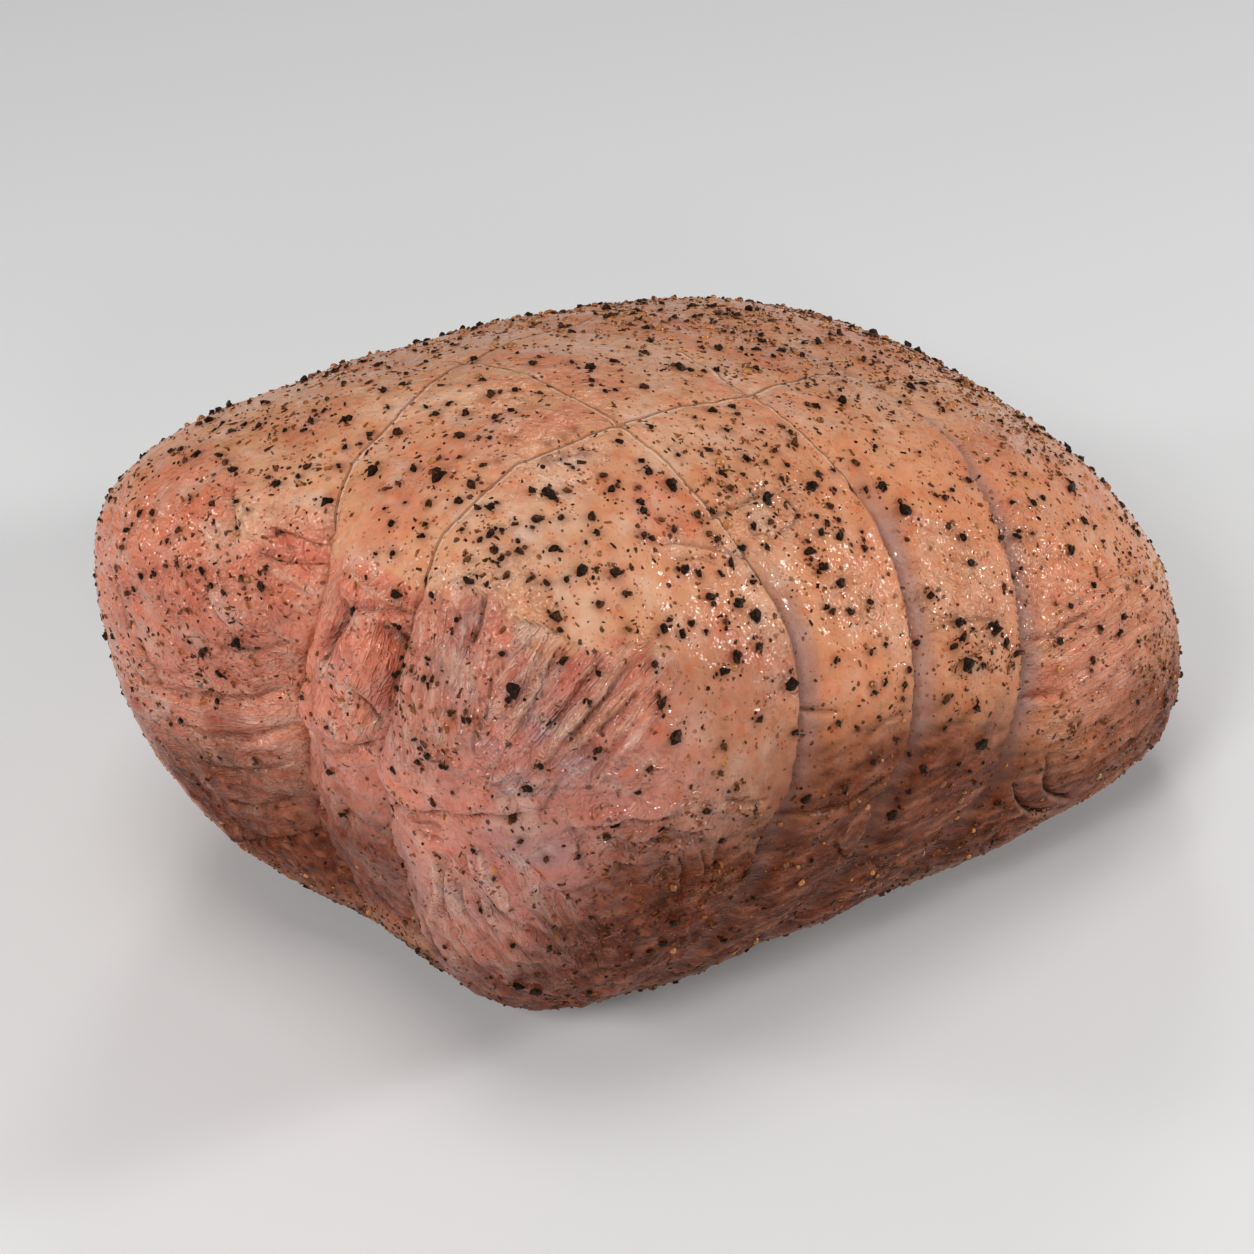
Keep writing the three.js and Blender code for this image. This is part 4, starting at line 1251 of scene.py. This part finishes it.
def speck_node(scale, few, under, colour, strength):
    """Small ragged specks of a colour over another, in a few of a pattern's cells."""
    cells = node("ShaderNodeTexVoronoi", feature="F1")
    cells.inputs["Scale"].default_value = scale
    link(shaken_place, cells.inputs["Vector"])
    pick = node("ShaderNodeSeparateColor")
    link(cells.outputs["Color"], pick.inputs["Color"])
    size = plus(times(pick.outputs["Green"], 0.30), 0.04)
    inside = ramp_node(cells.outputs["Distance"], plus(size, 0.12), size)
    chosen = math_node(pick.outputs["Red"], 1 - few, "GREATER_THAN")
    clustered = ramp_node(waves_node(scale * 0.12, 1), 0.42, 0.58)
    amount = times(times(inside, chosen), clustered)
    return mix_node(times(amount, strength), under, opaque(colour))


def hairline_node(scale, width, clusters, under, colour, strength):
    """Thin curved strokes of a colour over another, where a broad pattern allows them."""
    line = apart(waves_node(scale, 2, 0.5, 0.6), 0.5)
    stroke = ramp_node(line, width, 0.2 * width)
    allowed = ramp_node(waves_node(clusters, 2), 0.50, 0.62)
    amount = times(stroke, allowed)
    return mix_node(times(amount, strength), under, opaque(colour))


def band_node(off, middle, half, soft):
    """One within a band beside a line, off and middle in millimetres."""
    away = apart(off, middle)
    return ramp_node(away, half + soft, half)


# The grain: waves drawn out along each vertex's own way, as strands and thin sinews.
grained = attribute_node("grain")
way_kept = attribute_node("grain way", "Vector")
along_way = vector_node("DOT_PRODUCT", place, way_kept)
pull = vector_node("SCALE", way_kept, times(along_way, GRAIN_PULL))
drawn = vector_node("SUBTRACT", place, pull)
strands = waves_node(800, 2, 0.6, 0.4, where=drawn)
strand_crest = times(ramp_node(strands, 0.55, 0.68), grained)
sinews = apart(waves_node(430, 1, 0.5, 0.3, where=drawn), 0.5)
sinew = times(ramp_node(sinews, 0.034, 0.010), grained)
strand_gap = times(ramp_node(strands, 0.46, 0.34), grained)

# Painted shade in the cracks and painted highlights on the lips beside the string's lines and the
# folds, in millimetres from a line that wanders a little.
wander = times(minus(waves_node(260, 1.5), 0.5), 0.9)
string_far = plus(string_far, times(wander, 0.35))
fold_far = plus(fold_far, wander)
string_crack = times(band_node(string_far, 0.15, 0.10, 0.28), ramp_node(string_by, 0.25, 0.95))
string_lip = times(band_node(string_far, -0.55, 0.20, 0.45), string_by)
fold_crack = times(band_node(fold_far, 0.0, 0.08, 0.40), fold_by)
fold_lip = times(band_node(fold_far, 0.85, 0.20, 0.55), fold_by)

REDDER = (0.98, 0.70, 0.58, 1)
PALER = (1.08, 1.22, 1.38, 1)
STRAND_GAP_DARKER = (0.78, 0.48, 0.38, 1)
SINEW_LIGHTER = (1.35, 1.7, 1.8, 1)
STRAND_LIGHTER = (1.25, 1.5, 1.6, 1)
LIP_HIGHLIGHT = (246, 208, 176)
GROOVE_SHADE = (84, 40, 26)
HAIRLINE_BROWN = (150, 84, 50)
SPECKS = [  # cells to a metre, share of the cells with a speck, colour, strength
    (1500, 0.46, (166, 84, 40), 0.8),
    (1000, 0.38, (126, 64, 32), 0.9),
    (620, 0.16, (66, 36, 22), 0.9),
]

# The colour, from under to over: the paint, mottled, with the lips' painted highlights, speckled, then the
# cracks' painted shade. Each pattern's first number is its waves or cells to a metre.
mottled = painted
for amount, strength, change in (
    (ramp_node(waves_node(320, 3), 0.48, 0.72), 0.75, REDDER),
    (ramp_node(waves_node(150, 3, distortion=0.5), 0.48, 0.66), 0.6, PALER),
    (strand_gap, 0.45, STRAND_GAP_DARKER),
    (sinew, 0.45, SINEW_LIGHTER),
    (strand_crest, 0.5, STRAND_LIGHTER),
):
    mottled = mix_node(times(amount, strength), mottled, change, "MULTIPLY")
mottled = mix_node(plus(times(string_lip, 0.75), times(fold_lip, 0.12)), mottled, opaque(LIP_HIGHLIGHT))
specked = hairline_node(420, 0.012, 90, mottled, HAIRLINE_BROWN, 0.5)
for scale, few, colour, strength in SPECKS:
    specked = speck_node(scale, few, specked, colour, strength)
groove_shaded_skin = mix_node(math_node(string_crack, times(fold_crack, 0.35), "MAXIMUM"),
                        specked, opaque(GROOVE_SHADE))
link(groove_shaded_skin, shader.inputs["Base Color"])

# The relief that is too fine for the mesh.
BUMP_DEPTH = 0.0007
fineness = plus(times(crinkly, 0.45), 0.30)
wrinkle = plus(waves_node(330, 1.5, 0.5, 0.6), times(waves_node(1000, 1.0), fineness))
sharp = apart(waves_node(300, 1.3, 0.5, 0.9), 0.5)
height = wrinkle
for part, lift in (
    (times(sharp, crinkly), -3.6),
    (sinew, 0.5),
    (times(strands, grained), 1.6),
    (string_lip, 0.7),
    (fold_lip, 0.25),
    (string_crack, -0.9),
    (fold_crack, -0.35),
):
    height = plus(height, times(part, lift))
bump = node("ShaderNodeBump")
dial(bump, {"Strength": 1.0, "Distance": BUMP_DEPTH})
link(height, bump.inputs["Height"])
link(bump.outputs["Normal"], shader.inputs["Normal"])
link(bump.outputs["Normal"], shader.inputs["Coat Normal"])
dull = node("ShaderNodeMapRange")
dial(dull, {"To Min": 0.22, "To Max": 0.42})
link(waves_node(300, 1.5), dull.inputs["Value"])
link(dull.outputs["Result"], shader.inputs["Roughness"])
link(wetness, shader.inputs["Coat Weight"])
dial(shader, {
    "Specular IOR Level": 0.04,
    "Specular Tint": WARM_GLINT,
    "Coat Roughness": 0.06,
    "Subsurface Weight": 0.08,
    "Subsurface Radius": (1.0, 0.35, 0.2),
    "Subsurface Scale": 0.0015,
})
ham_mesh.materials.append(meat)


# The cracked corns
# Whole and cracked black peppercorns, up to 3.5 mm: dark, wrinkled, broken on flat sides
# and about half sunk in the skin. One small faceted ball is cracked anew for each.
def cracked(count, cuts, shape_cuts, wrinkle_depth, narrowness, flatness):
    """Small balls or blocks of one millimetre, each broken off along its own planes."""
    ball = bmesh.new()
    if cuts:
        bmesh.ops.create_icosphere(ball, subdivisions=cuts, radius=0.5)
    else:
        bmesh.ops.create_cube(ball, size=0.8)
        bmesh.ops.triangulate(ball, faces=ball.faces[:])
    ball.verts.index_update()
    corners = np.array([vert.co[:] for vert in ball.verts])
    sides = np.array([[vert.index for vert in face.verts] for face in ball.faces])
    ball.free()
    shapes = np.tile(corners, (count, 1, 1))
    shapes *= 1 + wrinkle_depth * draws.normal(size=(count, len(corners), 1))
    for _ in range(shape_cuts):
        plane = unit(draws.normal(size=(count, 1, 3)))
        reach = draws.uniform(0.22, 0.48, (count, 1))
        over = np.clip(np.sum(shapes * plane, axis=2) - reach, 0, None)
        shapes -= over[:, :, None] * plane
    widths = draws.uniform(*narrowness, count)
    stretch = np.stack([np.ones(count), widths, draws.uniform(*flatness, count)], axis=1)
    return shapes * stretch[:, None, :], sides


def scatter(name, places, facing_out, sizes, cuts, shape_cuts, wrinkle_depth, flatness, sunk, shades, smooth,
            narrowness=(0.6, 1.0)):
    """One joined mesh of small pieces that stand on the skin, each turned its own way."""
    count = len(places)
    shapes, sides = cracked(count, cuts, shape_cuts, wrinkle_depth, narrowness, flatness)
    first = unit(np.cross(facing_out, draws.normal(size=(count, 3))))
    tip = unit(facing_out + 0.25 * draws.normal(size=(count, 3)))
    first = unit(first - np.sum(first * tip, axis=1, keepdims=True) * tip)
    second = np.cross(tip, first)
    axes = np.stack([first, second, tip], axis=1)
    tops = shapes[:, :, 2].max(axis=1) * sizes
    laid = np.einsum("nvi,nij->nvj", shapes * sizes[:, None, None], axes)
    laid += (places + facing_out * (tops * (1 - 2 * sunk))[:, None])[:, None, :]
    laid = (laid - MIDDLE) * MM
    inside = np.all((laid > np.array(cad_low)) & (laid < np.array(cad_high)), axis=(1, 2))
    laid, shades = laid[inside], shades[inside]
    count = len(laid)
    mesh = bpy.data.meshes.new(name)
    faces = (sides[None] + np.arange(count)[:, None, None] * shapes.shape[1]).reshape(-1, 3)
    mesh.from_pydata(laid.reshape(-1, 3).tolist(), [], faces.tolist())
    mesh.polygons.foreach_set("use_smooth", [smooth] * len(mesh.polygons))
    keep_on_mesh(mesh, "shade", np.repeat(shades, shapes.shape[1]))
    piece = bpy.data.objects.new(name, mesh)
    bpy.context.collection.objects.link(piece)
    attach(piece, "root")
    return mesh


def strew(name, places, facing_out, sizes, shade_range, **look):
    """Scatters small pieces at the places that are clear of the foot's rim."""
    high = places[:, 2] > FOOT_CLEAR
    shades = draws.beta(*shade_range, int(high.sum()))
    return scatter(name, places[high], facing_out[high], sizes[high], shades=shades, **look)


def speckled_material(name, dark_end, light_end, bump_scale, bump_depth, roughness, coat, specular=0.5):
    """A material that runs from dark to light by each piece's own shade."""
    global tree, place
    made, tree, own_shader = new_material(name)
    place = node("ShaderNodeTexCoord").outputs["Object"]
    shade = attribute_node("shade")
    uneven = plus(shade, times(minus(waves_node(bump_scale, 3), 0.5), 1.5))
    link(mix_node(ramp_node(uneven, 0.0, 1.0), opaque(dark_end), opaque(light_end)),
         own_shader.inputs["Base Color"])
    own_bump = node("ShaderNodeBump")
    dial(own_bump, {"Strength": 0.8, "Distance": bump_depth})
    link(waves_node(bump_scale, 3, 0.6), own_bump.inputs["Height"])
    link(own_bump.outputs["Normal"], own_shader.inputs["Normal"])
    dial(own_shader, {
        "Roughness": roughness,
        "Specular IOR Level": specular,
        "Specular Tint": WARM_GLINT,
        "Coat Weight": coat,
        "Coat Roughness": 0.15,
    })
    return made, own_shader


corn_mesh = scatter(
    "cracked_corns", corn_places, corn_facing, corn_sizes, cuts=2, shape_cuts=5, wrinkle_depth=0.22,
    flatness=(0.50, 0.85), sunk=0.5,
    shades=draws.beta(1.2, 4.0, len(corn_places)) * np.clip(1.6 - 0.45 * corn_sizes, 0.2, 1.0), smooth=False)
corn_skin, _ = speckled_material(
    "peppercorn", dark_end=(24, 14, 8), light_end=(126, 74, 40), bump_scale=1600, bump_depth=0.0006,
    roughness=0.30, coat=0.0, specular=0.12)
corn_mesh.materials.append(corn_skin)


# The fine pepper
# What the mill made smaller: black and brown crumbs and shreds under 1.2 mm, lying
# flat in the skin all over, thickest on the far side and along the foot.
CRUMBS = 9500
DEBRIS = 3000
CRUMB_SIZE = 0.62
CRUMB_SPREAD = 0.35
SMALLEST_CRUMB = 0.3
LARGEST_CRUMB = 1.15
crumb_wanted = (0.25 + 0.75 * clumps) * (0.8 + 1.4 * far_side + 0.8 * low_down)
crumb_wanted = crumb_wanted * (1 - 0.55 * flesh) * (1 - 0.85 * pressed)
crumb_places, crumb_facing, _ = sow(CRUMBS - DEBRIS, crumb_wanted)
crumb_sizes = sizes_about(CRUMB_SIZE, CRUMB_SPREAD, CRUMBS, SMALLEST_CRUMB, LARGEST_CRUMB)
beside_which = draws.choice(len(corn_places), DEBRIS, p=corn_sizes ** 2 / np.sum(corn_sizes ** 2))
strays = np.cross(corn_facing[beside_which], draws.normal(size=(DEBRIS, 3)))
strays = unit(strays) * (corn_sizes[beside_which] * draws.uniform(0.5, 1.1, DEBRIS))[:, None]
strays = corn_places[beside_which] + strays
near_skin = [vertex_tree.find(stray)[1] for stray in strays]
onto_skin = np.sum((bare_points[near_skin] - strays) * bare_normals[near_skin], axis=1)
crumb_places = np.concatenate([crumb_places, strays + bare_normals[near_skin] * onto_skin[:, None]])
crumb_facing = np.concatenate([crumb_facing, bare_normals[near_skin]])
crumb_mesh = strew(
    "pepper_crumbs", crumb_places, crumb_facing, crumb_sizes, shade_range=(1.3, 2.2), cuts=1, shape_cuts=2,
    wrinkle_depth=0.12, flatness=(0.35, 0.75), sunk=0.4, smooth=False)
crumb_skin, _ = speckled_material(
    "pepper crumb", dark_end=(26, 14, 8), light_end=(136, 76, 38), bump_scale=2500, bump_depth=0.0001,
    roughness=0.35, coat=0.0, specular=0.12)
crumb_mesh.materials.append(crumb_skin)


# The husk
# Torn flakes of the corns' brown skin, up to 1.7 mm long and thin, pressed flat into the
# meat. They lie thickest where the pepper does and along the foot.
FLAKES = 12000
FLAKE_SIZE = 0.95
FLAKE_SPREAD = 0.3
SMALLEST_FLAKE = 0.5
LARGEST_FLAKE = 1.7
flake_wanted = (0.25 + 0.75 * clumps) * (0.6 + 1.2 * far_side + 0.9 * low_down + 1.8 * peppered)
flake_wanted = flake_wanted * (1 - 0.85 * pressed)
flake_places, flake_facing, _ = sow(FLAKES, flake_wanted)
flake_sizes = sizes_about(FLAKE_SIZE, FLAKE_SPREAD, FLAKES, SMALLEST_FLAKE, LARGEST_FLAKE)
flake_mesh = strew(
    "husk_flakes", flake_places, flake_facing, flake_sizes, shade_range=(1.3, 1.8), cuts=0, shape_cuts=1,
    wrinkle_depth=0.25, flatness=(0.20, 0.40), sunk=0.35, smooth=False, narrowness=(0.25, 0.6))
flake_skin, _ = speckled_material(
    "pepper husk", dark_end=(34, 15, 8), light_end=(158, 92, 46), bump_scale=2500, bump_depth=0.0001,
    roughness=0.3, coat=0.0, specular=0.2)
flake_mesh.materials.append(flake_skin)


# The golden bits
# Husk and seed of mustard colour and beads of set juice, half clear, that stand in the
# skin between the pepper and show as small bumps along the ham's edge.
BEADS = 1500
GRAINS = 4000
GOLDEN_SPREAD = 0.3
golden_wanted = (0.3 + 0.7 * clumps) * (0.5 + 2.2 * far_side + 0.8 * low_down)
golden_wanted = golden_wanted * (1 - 0.7 * flesh) * (1 - 0.8 * pressed)


def golden_bits(name, count, cuts, size, smallest, largest, flatness, sunk):
    """Golden bits about one size, sown where they are wanted."""
    places, facing_out, _ = sow(count, golden_wanted)
    sizes = sizes_about(size, GOLDEN_SPREAD, count, smallest, largest)
    mesh = strew(
        name, places, facing_out, sizes, shade_range=(2, 2), cuts=cuts, shape_cuts=1, wrinkle_depth=0.05,
        flatness=flatness, sunk=sunk, smooth=True)
    mesh.materials.append(golden_skin)


golden_skin, golden_shader = speckled_material(
    "golden bit", dark_end=(112, 60, 26), light_end=(196, 132, 72), bump_scale=1500, bump_depth=0.0001,
    roughness=0.2, coat=0.3)
dial(golden_shader, {
    "Subsurface Weight": 0.3,
    "Subsurface Radius": (1.0, 0.5, 0.2),
    "Subsurface Scale": 0.0008,
})
golden_bits(
    "golden_beads", BEADS, cuts=2, size=1.3, smallest=0.8, largest=2.1, flatness=(0.6, 0.95), sunk=0.45)
golden_bits(
    "golden_grains", GRAINS, cuts=1, size=0.75, smallest=0.4, largest=1.2, flatness=(0.35, 0.7), sunk=0.4)


# The table
# A plain pale table top under the ham, and soft light from above and all around. Lamps
# stand at a bearing and a rise from the ham, in degrees, and at a distance in metres.
TABLE_SIDE = 6.0
TABLE_PALE = (0.82, 0.82, 0.82, 1)
TABLE_ROUGHNESS = 0.8
AIR_LIGHT = 0.12
LAMP_AIM = Vector((0, 0, 0.06))
LAMPS = {  # bearing, rise, distance, side, power
    "overhead light": (205, 72, 1.2, 0.50, 4.4),
    "front light": (200, 38, 1.3, 0.24, 5.2),
    "near light": (232, 24, 1.3, 0.11, 1.3),
    "right light": (320, 16, 1.2, 0.20, 7.6),
    "left light": (140, 14, 1.2, 0.20, 3.4),
    "back light": (45, 45, 1.3, 0.26, 2.0),
}

table_net = bmesh.new()
bmesh.ops.create_grid(table_net, x_segments=1, y_segments=1, size=TABLE_SIDE / 2)
table_mesh = bpy.data.meshes.new("table top")
table_net.to_mesh(table_mesh)
table_net.free()
table = bpy.data.objects.new("table_top", table_mesh)
bpy.context.collection.objects.link(table)
pale, _, pale_shader = new_material("pale table")
dial(pale_shader, {"Base Color": TABLE_PALE, "Roughness": TABLE_ROUGHNESS})
table_mesh.materials.append(pale)

bpy.context.scene.view_settings.view_transform = "Standard"
world = bpy.data.worlds.new("studio air")
world.use_nodes = True
dial(world.node_tree.nodes["Background"], {"Color": (1, 1, 1, 1), "Strength": AIR_LIGHT})
bpy.context.scene.world = world


def soft_light(name, bearing, rise, away, side, power):
    """A square soft light that faces the ham."""
    data = bpy.data.lights.new(name, "AREA")
    data.shape = "SQUARE"
    data.size = side
    data.energy = power
    lamp = bpy.data.objects.new(name, data)
    spot = Vector(towards(bearing, rise)) * away
    lamp.location = spot + LAMP_AIM
    lamp.rotation_euler = spot.to_track_quat("Z", "Y").to_euler()
    bpy.context.collection.objects.link(lamp)


for name, details in LAMPS.items():
    soft_light(name, *details)
